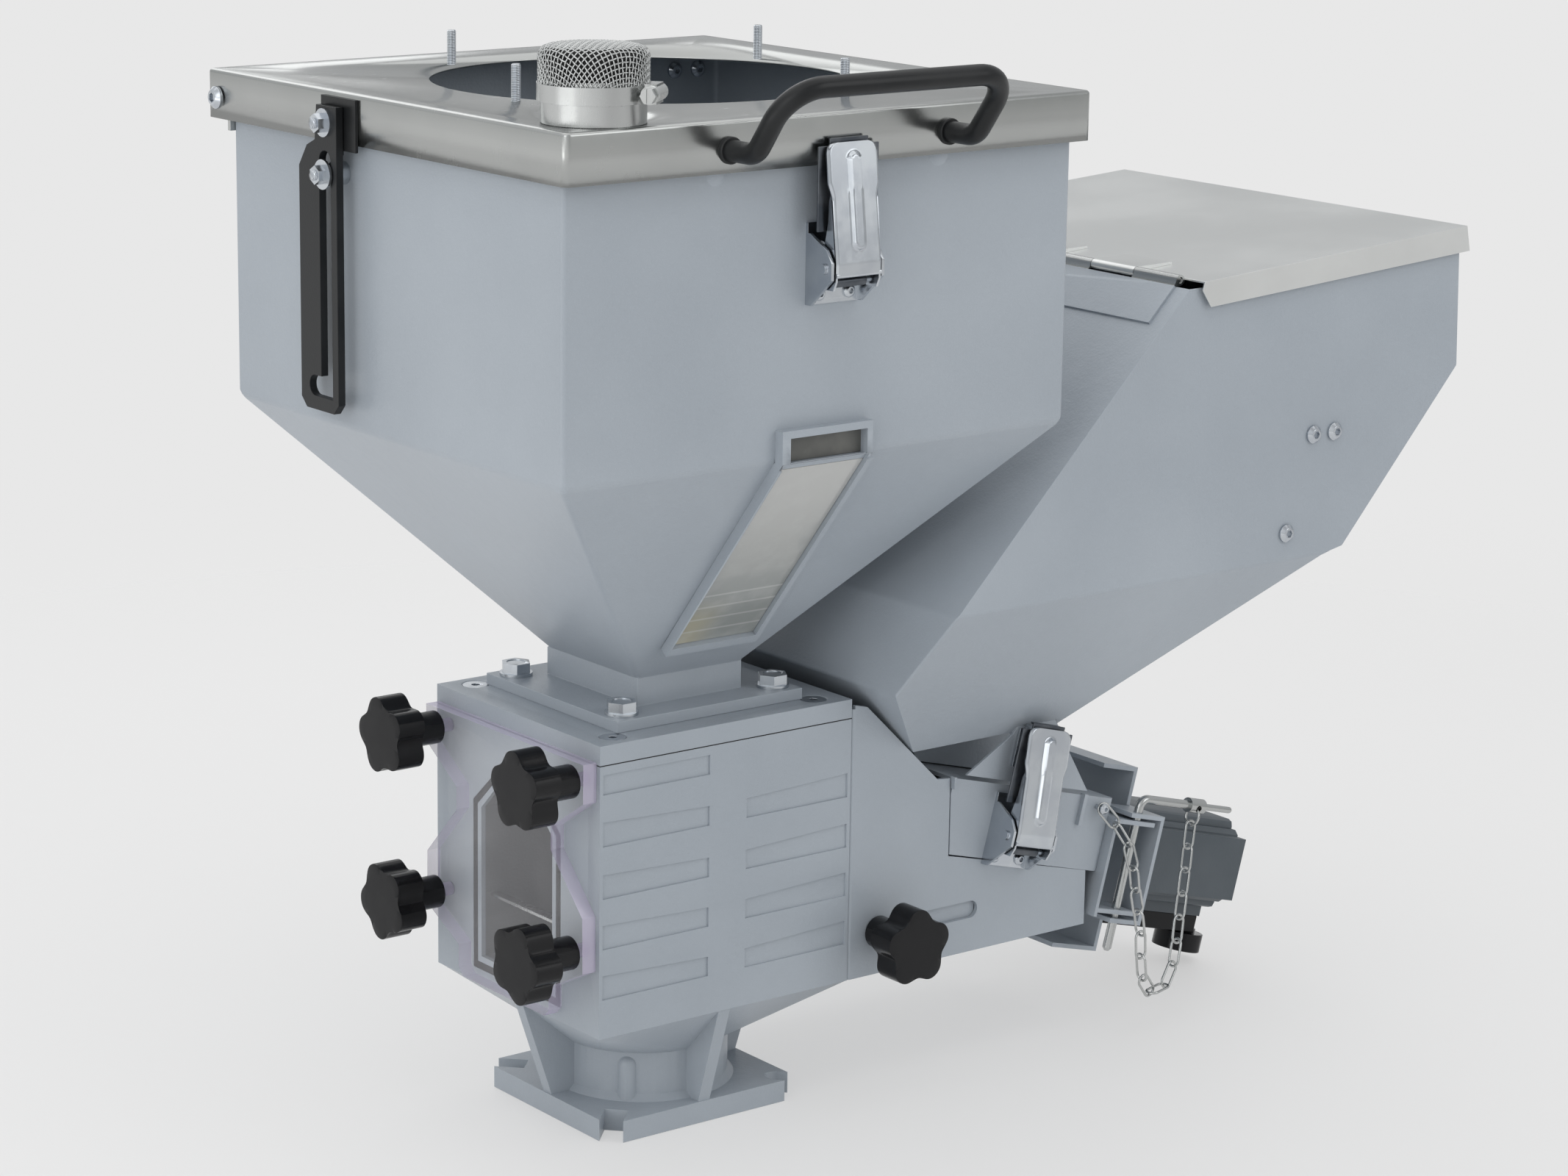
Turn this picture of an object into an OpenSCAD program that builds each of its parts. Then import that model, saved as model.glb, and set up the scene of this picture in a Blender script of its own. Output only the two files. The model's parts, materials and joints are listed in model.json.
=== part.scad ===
// Plastics granule dosing and mixing unit with a side screw feeder.
// Millimetres. Origin: outlet axis at the underside of the base plate, +Z up.
// The lid handle and lid latch face -Y, the clear cover faces -X, the feeder hangs on +X.

/* [Base and outlet] */
// Base plate length along X
base_x = 148; // [130:1:180]
// Base plate length along Y
base_y = 138; // [120:1:170]
// Base plate thickness
base_t = 14; // [8:0.5:20]
// Width of the open corner notches for the clamp bolts
notch_w = 15; // [10:0.5:18]
// Outside diameter of the outlet cylinder
outlet_od = 111; // [90:1:125]
// Bore of the outlet
outlet_bore = 64; // [50:1:76]
// Height where the outlet cylinder meets the mixing block
outlet_top = 45; // [35:1:60]
// Thickness of the four webs under the block
web_t = 9; // [5:0.5:14]

/* [Mixing block] */
// Block length along X
block_x = 193; // [170:1:220]
// Block length along Y
block_y = 178; // [160:1:200]
// Height of the block's lower edge
block_z = 80; // [70:1:95]
// Height of the block's top face
block_top = 252.6; // [235:0.2:270]
// Thickness of the top plate
plate_t = 12.4; // [8:0.2:18]
// Half width of the chamber opening
chamber_half = 39; // [30:1:46]
// Height of the chamber floor
chamber_z = 98; // [92:1:110]
// Depth of the shallow pockets in the walls
pocket_depth = 1.2; // [0.6:0.1:2.5]
// Height of each shallow pocket
pocket_h = 12.5; // [8:0.5:18]

/* [Clear cover] */
// Cover thickness
cover_t = 10; // [6:0.5:14]
// Knob spacing along Y
knob_dy = 148; // [130:1:160]
// Height of the upper knobs
knob_hi = 242; // [230:1:246]
// Height of the lower knobs
knob_lo = 134; // [120:1:146]

/* [Star knobs] */
// Head diameter over the lobes
star_d = 50; // [40:1:60]
// Hub diameter
star_hub = 21; // [16:0.5:26]
// Knob length from its seat
star_len = 42; // [34:1:50]
// Stud radius
star_stud = 4; // [3:0.5:5]

/* [Main hopper] */
// Hopper length along X
bin_x = 372; // [340:1:400]
// Hopper length along Y
bin_y = 354; // [320:1:380]
// Height of the fold between slope and wall
bin_fold = 447; // [430:1:470]
// Height of the hopper's top edge
bin_top = 645; // [630:1:646]
// Sheet thickness
bin_t = 2; // [1.5:0.1:3]
// Throat length along X
neck_x = 80; // [70:1:90]
// Throat length along Y
neck_y = 97; // [86:1:110]
// Height of the throat's top
neck_top = 290; // [282:1:300]
// Side of the square flange
flange_w = 142; // [136:1:150]
// Flange thickness
flange_t = 7.3; // [5:0.1:10]
// Bolt spacing of the flange along X
flange_dx = 116; // [110:1:122]
// Bolt spacing of the flange along Y
flange_dy = 114; // [108:1:120]

/* [Sight window] */
// Left edge of the glass
glass_x0 = -34.5; // [-40:0.5:-10]
// Right edge of the glass
glass_x1 = 29; // [20:0.5:50]
// Length of the glass down the slope
glass_len = 167; // [140:1:180]

/* [Lid] */
// Lid length along X
lid_x = 384; // [380:1:400]
// Front of the lid
lid_y0 = -187.6; // [-200:0.2:-184]
// Back of the lid
lid_y1 = 199; // [196:1:206]
// Height of the lid's top face
lid_top = 649; // [648.5:0.5:655]
// Skirt height
skirt_h = 30; // [24:1:34]
// Lid sheet thickness
lid_t = 1.5; // [1:0.1:2]
// Diameter of the round hole in the lid
hole_d = 259; // [220:1:266]
// Centre of the round hole along Y
hole_y = 5.7; // [0:0.1:10]
// Pitch circle of the four studs
stud_pcd = 280; // [276:1:290]
// Height of the studs over the lid
stud_h = 21.5; // [15:0.5:30]
// Height of the lid's pivot axis
pivot_z = 632; // [628:1:636]
// Position of the lid's pivot axis along Y
pivot_y = 186; // [184:1:188]

/* [Vent] */
// Vent centre along X
vent_x = -150; // [-155:1:-140]
// Vent centre along Y
vent_y = -155; // [-156:1:-150]
// Outside radius of the vent spigot
vent_r = 29.8; // [26:0.1:30]

/* [Lid handle] */
// Distance between the handle's legs
grip_w = 160; // [140:1:180]
// Tube radius
grip_r = 6.25; // [5:0.25:8]
// Height of the handle's legs
grip_z = 632; // [628:1:636]
// Reach of the legs to the elbow, along -Y from the axis
elbow_y = 212; // [205:1:220]
// Length of the bow from the elbow to the grip bar
bow_len = 49; // [40:0.5:75]
// Angle of the bow over the legs, degrees
grip_a = 53; // [40:0.5:65]

/* [Lid stay] */
// Position of the stay's bolts along Y
stay_y = 49; // [45:1:53]
// Height of the upper bolt
stay_hi = 631; // [628:1:634]
// Height of the lower bolt
stay_lo = 600.4; // [596:0.2:604]
// Thickness of the stay
stay_t = 5; // [3:0.5:6]
// Width of the stay's slot
stay_slot = 12.8; // [11:0.2:14]

/* [Toggle latches] */
// Latch width over the cheeks
latch_w = 39; // [34:1:44]
// Height of the latch base
latch_h = 42; // [38:1:48]
// Centre of the lid latch along X
latch_x = 3.5; // [0:0.5:8]
// Height of the lid latch's base
latch_z = 537; // [534:0.5:540]

/* [Feeder console] */
// Console cheek thickness
cheek_t = 3; // [2:0.5:5]
// Height of the console slot
slot_z = 108.5; // [104:0.5:114]
// Width of the console slot
slot_w = 11.5; // [9:0.5:14]
// Left end of the console slot
slot_x0 = 120.5; // [116:0.5:126]
// Length of the slot between the end centres
slot_len = 78; // [60:1:82]

/* [Feeder housing] */
// Slope of the feeder, degrees
tilt = 15; // [10:1:20]
// Screw axis above the feeder's reference line
axis_w = 25; // [22:1:28]
// Outside radius of the feed tube
tube_r = 25; // [22:0.5:27]
// Top of the feeder housing above the reference line
house_w = 70; // [66:1:74]

/* [Feed screw] */
// Screw outside radius
screw_r = 20; // [16:0.5:21]
// Screw pitch
screw_pitch = 32; // [24:1:40]

/* [Side hopper] */
// Sheet thickness of the side hopper
side_t = 1.2; // [1:0.1:2.5]
// Half width of the side hopper
side_half = 162; // [150:1:170]
// Side lid half width
sidelid_half = 166; // [165:1:175]
// Hinge axis of the side lid along X
sh_x = 306; // [304:1:308]
// Hinge axis height of the side lid
sh_z = 519; // [518:0.5:520]

/* [Motor] */
// Width of the motor over its side pads
motor_w = 90; // [80:1:100]
// Height of the motor
motor_h = 64; // [56:1:72]
// Length of the motor housing
motor_len = 135; // [110:1:150]

/* [Lock pin and chain] */
// Lock pin radius
pin_r = 3; // [2:0.5:4]
// Lock pin position along the feeder
pin_u = 239; // [236:1:242]
// Lock pin position along Y
pin_y = -89; // [-92:1:-86]
// Pitch of the chain's links
link_pitch = 16; // [14:0.1:18]
// Wire radius of the chain
link_r = 0.85; // [0.7:0.05:1.2]

/* [Hidden] */
$fn = 48;
e = 0.02;
block_hx = block_x / 2;
block_hy = block_y / 2;
deck = block_top + plate_t;
feed_x = block_hx;
feed_z = 150;
slope_a = atan2(bin_fold - neck_top, bin_y / 2 - neck_y / 2);
skirt_z = lid_top - skirt_h;
pin_top = 72.5;
paint = [0.63, 0.66, 0.69];
zinc = [0.8, 0.8, 0.8];
steel = [0.74, 0.75, 0.76];
black = [0.07, 0.07, 0.08];

// XZ outline drawn from y0 towards -Y
module sideCut(y0, depth) { translate([0, y0, 0]) rotate([90, 0, 0]) linear_extrude(depth) children(); }
// YZ outline drawn from x0 towards +X
module frontCut(x0, depth) { translate([x0, 0, 0]) rotate([90, 0, 90]) linear_extrude(depth) children(); }
// The feeder's own frame: X along the screw, Z square to it
module inFeeder() { translate([feed_x, 0, feed_z]) rotate([0, tilt, 0]) children(); }
module box(x0, x1, y0, y1, z0, z1) { translate([x0, y0, z0]) cube([x1 - x0, y1 - y0, z1 - z0]); }
module alongX(x0, x1, r) { translate([x0, 0, 0]) rotate([0, 90, 0]) cylinder(r = r, h = x1 - x0); }
module alongY(y0, y1, r) { translate([0, y1, 0]) rotate([90, 0, 0]) cylinder(r = r, h = y1 - y0); }
module hexagon(af, h) { cylinder(r = af / sqrt(3), h = h, $fn = 6); }
// Rod corner: quarter of a ring of radius big, wire radius small, between +X and +Y
module ringArc(big, small, a) { rotate_extrude(angle = a) translate([big, 0]) circle(r = small); }
// Upright box with round vertical edges
module roundBox(x0, x1, y0, y1, z0, z1, r) {
    box(x0 + r, x1 - r, y0, y1, z0, z1);
    box(x0, x1, y0 + r, y1 - r, z0, z1);
    for (x = [x0 + r, x1 - r], y = [y0 + r, y1 - r]) translate([x, y, z0]) cylinder(r = r, h = z1 - z0);
}
// M6 washer, spacer and nut lying along X
module washerX(x0, r, h) {
    translate([x0, 0, 0]) rotate([0, 90, 0]) difference() {
        cylinder(r = r, h = h);
        translate([0, 0, -1]) cylinder(r = 3.05, h = h + 2);
    }
}
module nutX(x0, h) {
    translate([x0, 0, 0]) rotate([0, 90, 0]) difference() {
        hexagon(10, h);
        translate([0, 0, -1]) cylinder(r = 3, h = h + 2);
    }
}
// Dome head with a hex socket, sitting on z = 0, thread downwards
module domeScrew(r, shank_r, depth) {
    difference() {
        union() {
            cylinder(r = r, h = r * 0.28);
            translate([0, 0, r * 0.28]) cylinder(r1 = r, r2 = r * 0.62, h = r * 0.36);
        }
        translate([0, 0, r * 0.22]) hexagon(r * 0.75, r);
    }
    if (depth > 0) translate([0, 0, -depth]) cylinder(r = shank_r, h = depth);
}

// ---------------------------------------------------------------- mixing block

module cornerNotch(sx, sy) {
    translate([sx * base_x / 2, sy * base_y / 2, -1]) rotate([0, 0, sx * sy > 0 ? 45 : -45]) {
        translate([-13, -notch_w / 2, 0]) cube([40, notch_w, base_t + 2]);
        translate([-14, 0, 0]) cylinder(r = notch_w / 2, h = base_t + 2);
        translate([14, 0, 0]) cylinder(r = notch_w / 2, h = base_t + 2);
        translate([-27, -notch_w / 2, 0]) translate([13, 0, 0]) cube([14, notch_w, base_t + 2]);
    }
}

module chamberShape(grow) {
    w = chamber_half + grow;
    polygon([[-w, chamber_z - grow], [w, chamber_z - grow], [w, 196 + grow * 0.4],
        [7, 228 + grow], [-7, 228 + grow], [-w, 196 + grow * 0.4]]);
}

module pocketRow(x0, x1, z, rise) {
    // rise lifts the top edge at the outer end
    out = x0 < 0 ? [[x0, z + pocket_h / 2 + rise], [x1, z + pocket_h / 2]] :
        [[x0, z + pocket_h / 2], [x1, z + pocket_h / 2 + rise]];
    polygon([[x0, z - pocket_h / 2], out[0], out[1], [x1, z - pocket_h / 2]]);
}

module wallPockets() {
    for (z = [208, 175, 143, 111]) pocketRow(14.5, block_hx - 2.5, z, 3);
    for (z = [240.5, 208, 175, 143, 111]) pocketRow(2.5 - block_hx, -14, z, z > 240 ? 0 : 3);
}

module webShape(reach, top_reach) {
    polygon([[outlet_od / 2 - 8, base_t - 1], [reach, base_t - 1], [reach, base_t + 1],
        [top_reach - 1, block_z], [outlet_od / 2 - 8, block_z]]);
}

module mixer_housing() {
    color(paint) difference() {
        union() {
            difference() {
                roundBox(-base_x / 2, base_x / 2, -base_y / 2, base_y / 2, 0, base_t, 4);
                for (sx = [-1, 1], sy = [-1, 1]) cornerNotch(sx, sy);
            }
            translate([0, 0, base_t - 1]) cylinder(r = outlet_od / 2, h = outlet_top + 1 - base_t + 1);
            translate([0, 0, base_t - e]) cylinder(r1 = outlet_od / 2 + 4, r2 = outlet_od / 2, h = 4);
            hull() {
                translate([0, 0, outlet_top]) cylinder(r = outlet_od / 2, h = 0.1, $fn = 64);
                box(0.5 - block_hx, block_hx - 0.5, 0.5 - block_hy, block_hy - 0.5, block_z - 0.1,
                    block_z + 0.5);
            }
            box(-block_hx, block_hx, -block_hy, block_hy, block_z, block_top);
            for (s = [0, 180]) rotate([0, 0, s]) {
                sideCut(web_t / 2, web_t) webShape(base_x / 2 - 1, block_hx);
                frontCut(-web_t / 2, web_t) mirror([1, 0]) webShape(base_y / 2 - 1, block_hy);
            }
            rotate([0, 0, 225]) translate([outlet_od / 2 - 2, 0, base_t - 1]) cylinder(r = 6, h = 24);
            rotate([0, 0, 225]) translate([outlet_od / 2 - 2, 0, base_t + 23]) sphere(r = 6);
        }
        translate([0, 0, -1]) cylinder(r = outlet_bore / 2, h = chamber_z + 2);
        frontCut(-block_hx - 1, block_hx + 61) chamberShape(0);
        box(-38, 38, -38, 38, 190, block_top + 1);
        frontCut(-block_hx - 1, 3.1) difference() { chamberShape(9); chamberShape(4); }
        inFeeder() translate([0, 0, axis_w]) alongX(-62, 20, tube_r + 0.3);
        for (y = [-1, 1] * knob_dy / 2, z = [knob_hi, knob_lo])
            translate([0, y, z]) alongX(-block_hx - 1, -block_hx + 13, star_stud + 0.3);
        for (x = [-77, 77], y = [-74.5, 74.5]) translate([x, y, block_top - 18]) cylinder(r = 4.05, h = 19);
        for (x = [-1, 1] * flange_dx / 2, y = [-1, 1] * flange_dy / 2)
            translate([x, y, block_top - 14]) cylinder(r = 5.05, h = 15);
        sideCut(-block_hy + pocket_depth, 5) wallPockets();
        rotate([0, 0, 180]) sideCut(-block_hy + pocket_depth, 5) wallPockets();
        for (y = [-66, 66], z = [95, 240]) translate([0, y, z]) alongX(block_hx - 16, block_hx + 1, 3.05);
    }
}

module top_plate() {
    color(paint) difference() {
        box(-block_hx, block_hx, -block_hy, block_hy, block_top, deck);
        box(-40, 40, -40, 40, block_top - 1, deck + 1);
        for (x = [-77, 77], y = [-74.5, 74.5]) translate([x, y, block_top - 1]) {
            cylinder(r = 4.3, h = 20);
            translate([0, 0, plate_t + 1 - 4.6]) cylinder(r1 = 4.3, r2 = 9, h = 4.62);
        }
        for (x = [-1, 1] * flange_dx / 2, y = [-1, 1] * flange_dy / 2)
            translate([x, y, block_top - 1]) cylinder(r = 5.05, h = plate_t + 2);
    }
}

module top_plate_screws() {
    color(zinc) for (x = [-77, 77], y = [-74.5, 74.5]) translate([x, y, deck]) difference() {
        union() {
            translate([0, 0, -4.7]) cylinder(r1 = 4, r2 = 8.4, h = 4.5);
            translate([0, 0, -28]) cylinder(r = 4, h = 24);
        }
        translate([0, 0, -3]) hexagon(5, 4);
    }
}

module chamber_guide() {
    // square chute from the hopper throat, and the sloping baffle under it
    color(steel) difference() {
        union() {
            box(-37.6, 37.6, -37.6, 37.6, 206, 270);
            box(-39.6, 39.6, -39.6, 39.6, deck - 12, deck - 10);
        }
        box(-35.6, 35.6, -35.6, 35.6, 200, 271);
        sideCut(60, 120) polygon([[-50, 190], [50, 190], [50, 205], [20, 205], [-50, 240]]);
    }
    color(steel) sideCut(38.6, 77.2) polygon([[-90, 137], [-90, 139.2], [-84, 139.2], [-34, 112],
        [-34, 99], [-36, 99], [-36, 110.6], [-84.6, 137]]);
}

module cover_gasket() {
    color(black) frontCut(-block_hx - 0.1, 1.9) difference() { chamberShape(8.9); chamberShape(4.1); }
}

module coverShape() {
    half = [[86, 254.5], [86, 230], [52, 208], [52, 193], [85.5, 158], [86, 123], [50, 105], [50, 90],
        [45, 85]];
    polygon(concat(half, [for (i = [len(half) - 1:-1:0]) [-half[i][0], half[i][1]]]));
}

module clear_cover() {
    color([0.85, 0.85, 0.9, 0.35]) difference() {
        frontCut(-block_hx - 0.3 - cover_t, cover_t) coverShape();
        for (y = [-1, 1] * knob_dy / 2, z = [knob_hi, knob_lo])
            translate([0, y, z]) alongX(-block_hx - 2 - cover_t, -block_hx + 1, star_stud + 0.3);
    }
}

// Star knob along +Z, seat at z = 0, stud below
module starKnob(stud_len) {
    head_z = star_len - 15;
    color(black) {
        cylinder(r = star_hub / 2, h = head_z + 1);
        translate([0, 0, -stud_len]) cylinder(r = star_stud, h = stud_len + 1);
        difference() {
            union() {
                translate([0, 0, head_z]) cylinder(r = star_d * 0.34, h = 15);
                for (a = [0:72:359]) rotate([0, 0, a]) translate([star_d * 0.34, 0, head_z + 0.5])
                    cylinder(r = star_d * 0.16, h = 14);
            }
            for (a = [36:72:359]) rotate([0, 0, a]) translate([star_d * 0.465, 0, head_z - 1])
                cylinder(r = star_d * 0.14, h = 17);
        }
    }
}
module coverKnob(y, z) {
    translate([-block_hx - 0.3 - cover_t - 0.3, y, z]) rotate([0, -90, 0]) starKnob(cover_t + 12);
}
module knob_back_high() { coverKnob(knob_dy / 2, knob_hi); }
module knob_front_high() { coverKnob(-knob_dy / 2, knob_hi); }
module knob_back_low() { coverKnob(knob_dy / 2, knob_lo); }
module knob_front_low() { coverKnob(-knob_dy / 2, knob_lo); }

// ----------------------------------------------------------------- main hopper

module binSolid(in, top) {
    hx = bin_x / 2 - in;
    hy = bin_y / 2 - in;
    nx = neck_x / 2 - in * 1.36;
    ny = neck_y / 2 - in * 1.3;
    low = neck_top - (in > 0 ? 0.6 : 0);
    intersection() {
        sideCut(300, 600) polygon([[-nx, low], [nx, low], [hx, bin_fold], [hx, top], [-hx, top],
            [-hx, bin_fold]]);
        frontCut(-300, 600) polygon([[-ny, low], [ny, low], [hy, bin_fold], [hy, top], [-hy, top],
            [-hy, bin_fold]]);
    }
}

// Local Y runs down the front slope, local -Z points out of it
module onSlope() { translate([0, -bin_y / 2, bin_fold]) rotate([-slope_a, 0, 0]) children(); }

module main_hopper() {
    color(paint) difference() {
        union() {
            binSolid(0, bin_top);
            box(-neck_x / 2, neck_x / 2, -neck_y / 2, neck_y / 2, deck, neck_top + 0.1);
            box(-flange_w / 2, flange_w / 2, -flange_w / 2, flange_w / 2, deck, deck + flange_t);
            for (x = [-81, 82]) intersection() {
                translate([x, -bin_y / 2 + 11.7, 618]) sphere(r = 13.9);
                box(x - 20, x + 20, -bin_y / 2 - 5, -bin_y / 2 + 1, 590, 640);
            }
        }
        binSolid(bin_t, bin_top + 1);
        box(2 - neck_x / 2, neck_x / 2 - 2, 2 - neck_y / 2, neck_y / 2 - 2, deck - 1, neck_top + 3);
        for (x = [-1, 1] * flange_dx / 2, y = [-1, 1] * flange_dy / 2)
            translate([x, y, deck - 1]) cylinder(r = 5.3, h = flange_t + 2);
        onSlope() box(glass_x0 + 5, glass_x1 - 5, 10, glass_len - 8, -8, 8);
        for (s = [-1, 1], x = [149, 168]) translate([s * x, 0, 630]) alongY(170, 180, 3.05);
        translate([0, stay_y, stay_lo]) alongX(-190, -180, 3.05);
        for (x = [-11, 11], z = [543, 570]) translate([latch_x + x, 0, z]) alongY(-180, -170, 2.05);
    }
}

module hopper_bolts() {
    color(zinc) for (x = [-1, 1] * flange_dx / 2, y = [-1, 1] * flange_dy / 2)
        translate([x, y, deck + flange_t]) {
            cylinder(r = 10.5, h = 2);
            difference() {
                translate([0, 0, 2]) hexagon(17, 6.4);
                translate([0, 0, 7.9]) cylinder(r = 6, h = 1);
            }
            translate([0, 0, -32]) cylinder(r = 5, h = 32.1);
        }
}

module window_frame() {
    // raised frame on the slope with its top block on the upright wall
    color(paint) difference() {
        union() {
            onSlope() box(glass_x0 - 1.5, glass_x1 + 4.5, 1, glass_len + 7, -7, 0);
            frontCut(glass_x0 - 1.5, glass_x1 - glass_x0 + 3.5)
                polygon([[-bin_y / 2, 440], [-bin_y / 2, 465.5], [-bin_y / 2 - 7, 465.5],
                    [-bin_y / 2 - 7, 446], [-bin_y / 2 - 2, 440]]);
        }
        box(glass_x0 + 4.5, glass_x1 - 2, -bin_y / 2 - 10, -bin_y / 2 + 1, 446, 461);
        onSlope() box(glass_x0, glass_x1, 3, glass_len, -8, 1);
        onSlope() box(glass_x0, glass_x1, -3, 4, -8, -4);
        binSolid(0.02, bin_top);
    }
}

module window_glass() {
    color([0.7, 0.8, 0.8, 0.4]) onSlope() box(glass_x0 + 0.3, glass_x1 - 0.3, 3.3, glass_len - 0.3, -4.2,
        -0.2);
}

module hinge_ears() {
    color(steel) for (s = [-1, 1]) difference() {
        union() {
            box(s > 0 ? 140 : -189, s > 0 ? 189 : -140, bin_y / 2, bin_y / 2 + 3, 612, 643);
            box(s > 0 ? 186 : -189, s > 0 ? 189 : -186, bin_y / 2, pivot_y, 620, 643);
            translate([0, pivot_y, pivot_z]) alongX(s > 0 ? 186 : -189, s > 0 ? 189 : -186, 8);
        }
        translate([0, pivot_y, pivot_z]) alongX(s > 0 ? 180 : -195, s > 0 ? 195 : -180, 4.03);
        for (x = [149, 168]) translate([s * x, 0, 630]) alongY(170, 190, 3.05);
    }
}

module ear_screws() {
    color(zinc) for (s = [-1, 1], x = [149, 168]) translate([s * x, bin_y / 2 - bin_t, 630]) {
        rotate([90, 0, 0]) domeScrew(5.5, 3, 0);
        alongY(-0.1, 9, 3);
        translate([0, 5.1, 0]) rotate([-90, 0, 0]) difference() { hexagon(10, 5); cylinder(r = 3, h = 6); }
    }
}

module lid_pivots() {
    color(zinc) for (s = [-1, 1]) translate([0, pivot_y, pivot_z]) {
        if (s > 0) { alongX(184, 193, 4); translate([192.5, 0, 0]) rotate([0, 90, 0]) domeScrew(7, 4, 0); }
        else { alongX(-193, -184, 4); translate([-192.5, 0, 0]) rotate([0, -90, 0]) domeScrew(7, 4, 0); }
    }
}

// ------------------------------------------------------------------------- lid

module hopper_lid() {
    color(steel) difference() {
        roundBox(-lid_x / 2, lid_x / 2, lid_y0, lid_y1, skirt_z, lid_top, 2.5);
        box(lid_t - lid_x / 2, lid_x / 2 - lid_t, lid_y0 + lid_t, lid_y1 - lid_t, skirt_z - 1,
            lid_top - lid_t);
        translate([0, hole_y, lid_top - 5]) cylinder(r = hole_d / 2, h = 10, $fn = 96);
        translate([vent_x, vent_y, lid_top - 5]) cylinder(r = 27, h = 10);
        translate([0, pivot_y, pivot_z]) alongX(-200, 200, 4.07);
        box(latch_x - 12.5, latch_x + 12.5, lid_y0 - 2, lid_y0 + 4, 632.4, 634.8);
        for (x = [-1, 1] * grip_w / 2) translate([x, 0, grip_z]) alongY(lid_y0 - 2, lid_y0 + 4, 3.2);
        translate([0, stay_y, stay_hi]) alongX(-195, -188, 3.2);
    }
}

module lid_studs() {
    color(zinc) for (a = [22.5:90:360]) translate([0, hole_y, lid_top]) rotate([0, 0, a])
        translate([stud_pcd / 2, 0, 0]) {
            cylinder(r = 3, h = stud_h);
        }
}

module vent_spigot() {
    color(steel) translate([vent_x, vent_y, lid_top]) difference() {
        cylinder(r = vent_r, h = 25);
        translate([0, 0, -1]) cylinder(r = vent_r - 1.6, h = 27);
    }
}

module vent_cap() {
    color([0.6, 0.6, 0.6]) translate([vent_x, vent_y, lid_top + 12]) difference() {
        union() {
            cylinder(r = vent_r + 1.1, h = 25);
            translate([0, 0, 24.9]) rotate_extrude() {
                square([vent_r - 4.9, 6.1]);
                translate([vent_r - 4.9, 0]) intersection() { circle(r = 6); square([7, 7]); }
            }
        }
        translate([0, 0, -1]) cylinder(r = vent_r + 0.1, h = 25);
        translate([0, 0, 10]) cylinder(r = vent_r - 1, h = 18.6);
    }
}

module vent_clamp() {
    color(steel) translate([vent_x, vent_y, lid_top + 12.4]) {
        difference() {
            union() {
                cylinder(r = vent_r + 2.2, h = 10);
                rotate([0, 0, -50]) translate([vent_r + 1, -8, -0.6]) cube([7, 16, 11.2]);
            }
            translate([0, 0, -1]) cylinder(r = vent_r + 1.15, h = 13);
        }
        rotate([0, 0, -50]) translate([vent_r + 5.4, 0, 5]) {
            alongY(-14, -8, 3.6);
            translate([0, -17, 0]) rotate([90, 0, 0]) difference() {
                translate([0, 0, -3.1]) hexagon(8, 4.5);
                translate([-0.6, -6, 0.6]) cube([1.2, 12, 2]);
            }
        }
    }
}

module lid_handle() {
    seg = bow_len;
    big = 23.5;
    tl = 6.4;
    er = tl / tan(grip_a / 2);
    color(black) {
        for (s = [-1, 1]) {
            translate([s * grip_w / 2, 0, grip_z]) {
                alongY(-elbow_y + tl, lid_y0, grip_r);
                alongY(lid_y0 - 3, lid_y0, grip_r + 1.6);
            }
            translate([s * grip_w / 2, -elbow_y + tl, grip_z + er]) rotate([90, 0, 90])
                rotate([0, 0, -89.9 - grip_a]) ringArc(er, grip_r, grip_a - 0.2);
        }
        translate([0, -elbow_y, grip_z]) rotate([180 - grip_a, 0, 0]) {
            for (s = [-1, 1]) translate([s * grip_w / 2, 0, 0]) alongY(tl, seg - big, grip_r);
            translate([grip_w / 2 - big, seg - big, 0]) ringArc(big, grip_r, 90);
            translate([big - grip_w / 2, seg - big, 0]) rotate([0, 0, 90]) ringArc(big, grip_r, 90);
            translate([0, seg, 0]) alongX(big - grip_w / 2, grip_w / 2 - big, grip_r);
        }
    }
}

module handle_screws() {
    color(zinc) for (x = [-1, 1] * grip_w / 2) translate([x, lid_y0 + lid_t, grip_z]) {
        rotate([-90, 0, 0]) domeScrew(5.5, 3, 0);
        alongY(-lid_t, 0.1, 3);
    }
}

module stay_bracket() {
    color(black) difference() {
        union() {
            box(-194, -192, 24, 62, 615, 646);
            box(-194, -192, 40, 58, 612, 616);
        }
        translate([0, stay_y, stay_hi]) alongX(-200, -190, 3.2);
    }
}

module stay_bolts() {
    // pivot bolt on the lid, with washers and a lock nut outside the bar
    color(zinc) translate([0, stay_y, stay_hi]) {
        alongX(-208, -190.5, 3);
        translate([-190.4, 0, 0]) rotate([0, 90, 0]) hexagon(10, 3.6);
        washerX(-194.4, 8, 0.4);
        washerX(-201.4, 8.5, 1.6);
        nutX(-207, 5.6);
    }
}

module lid_stay() {
    f = stay_y - stay_slot / 2;
    b = stay_y + stay_slot / 2;
    color(black) difference() {
        frontCut(-194.8 - stay_t, stay_t) polygon([[f - 6.5, 641], [f - 6.5, 463], [f - 1, 457], [b + 17,
            457],
            [b + 23, 463], [b + 23, 603], [b + 14, 616], [b + 5, 620], [b + 3, 641]]);
        translate([0, stay_y, stay_hi]) alongX(-210, -180, 3.06);
        box(-210, -180, f, b, 478 - 6.2, 608);
        translate([0, stay_y, 608]) alongX(-210, -180, stay_slot / 2);
        box(-210, -180, f, f + 20, 465.6, 478);
        translate([0, f + 20, 471.8]) alongX(-210, -180, 6.2);
    }
}

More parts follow.
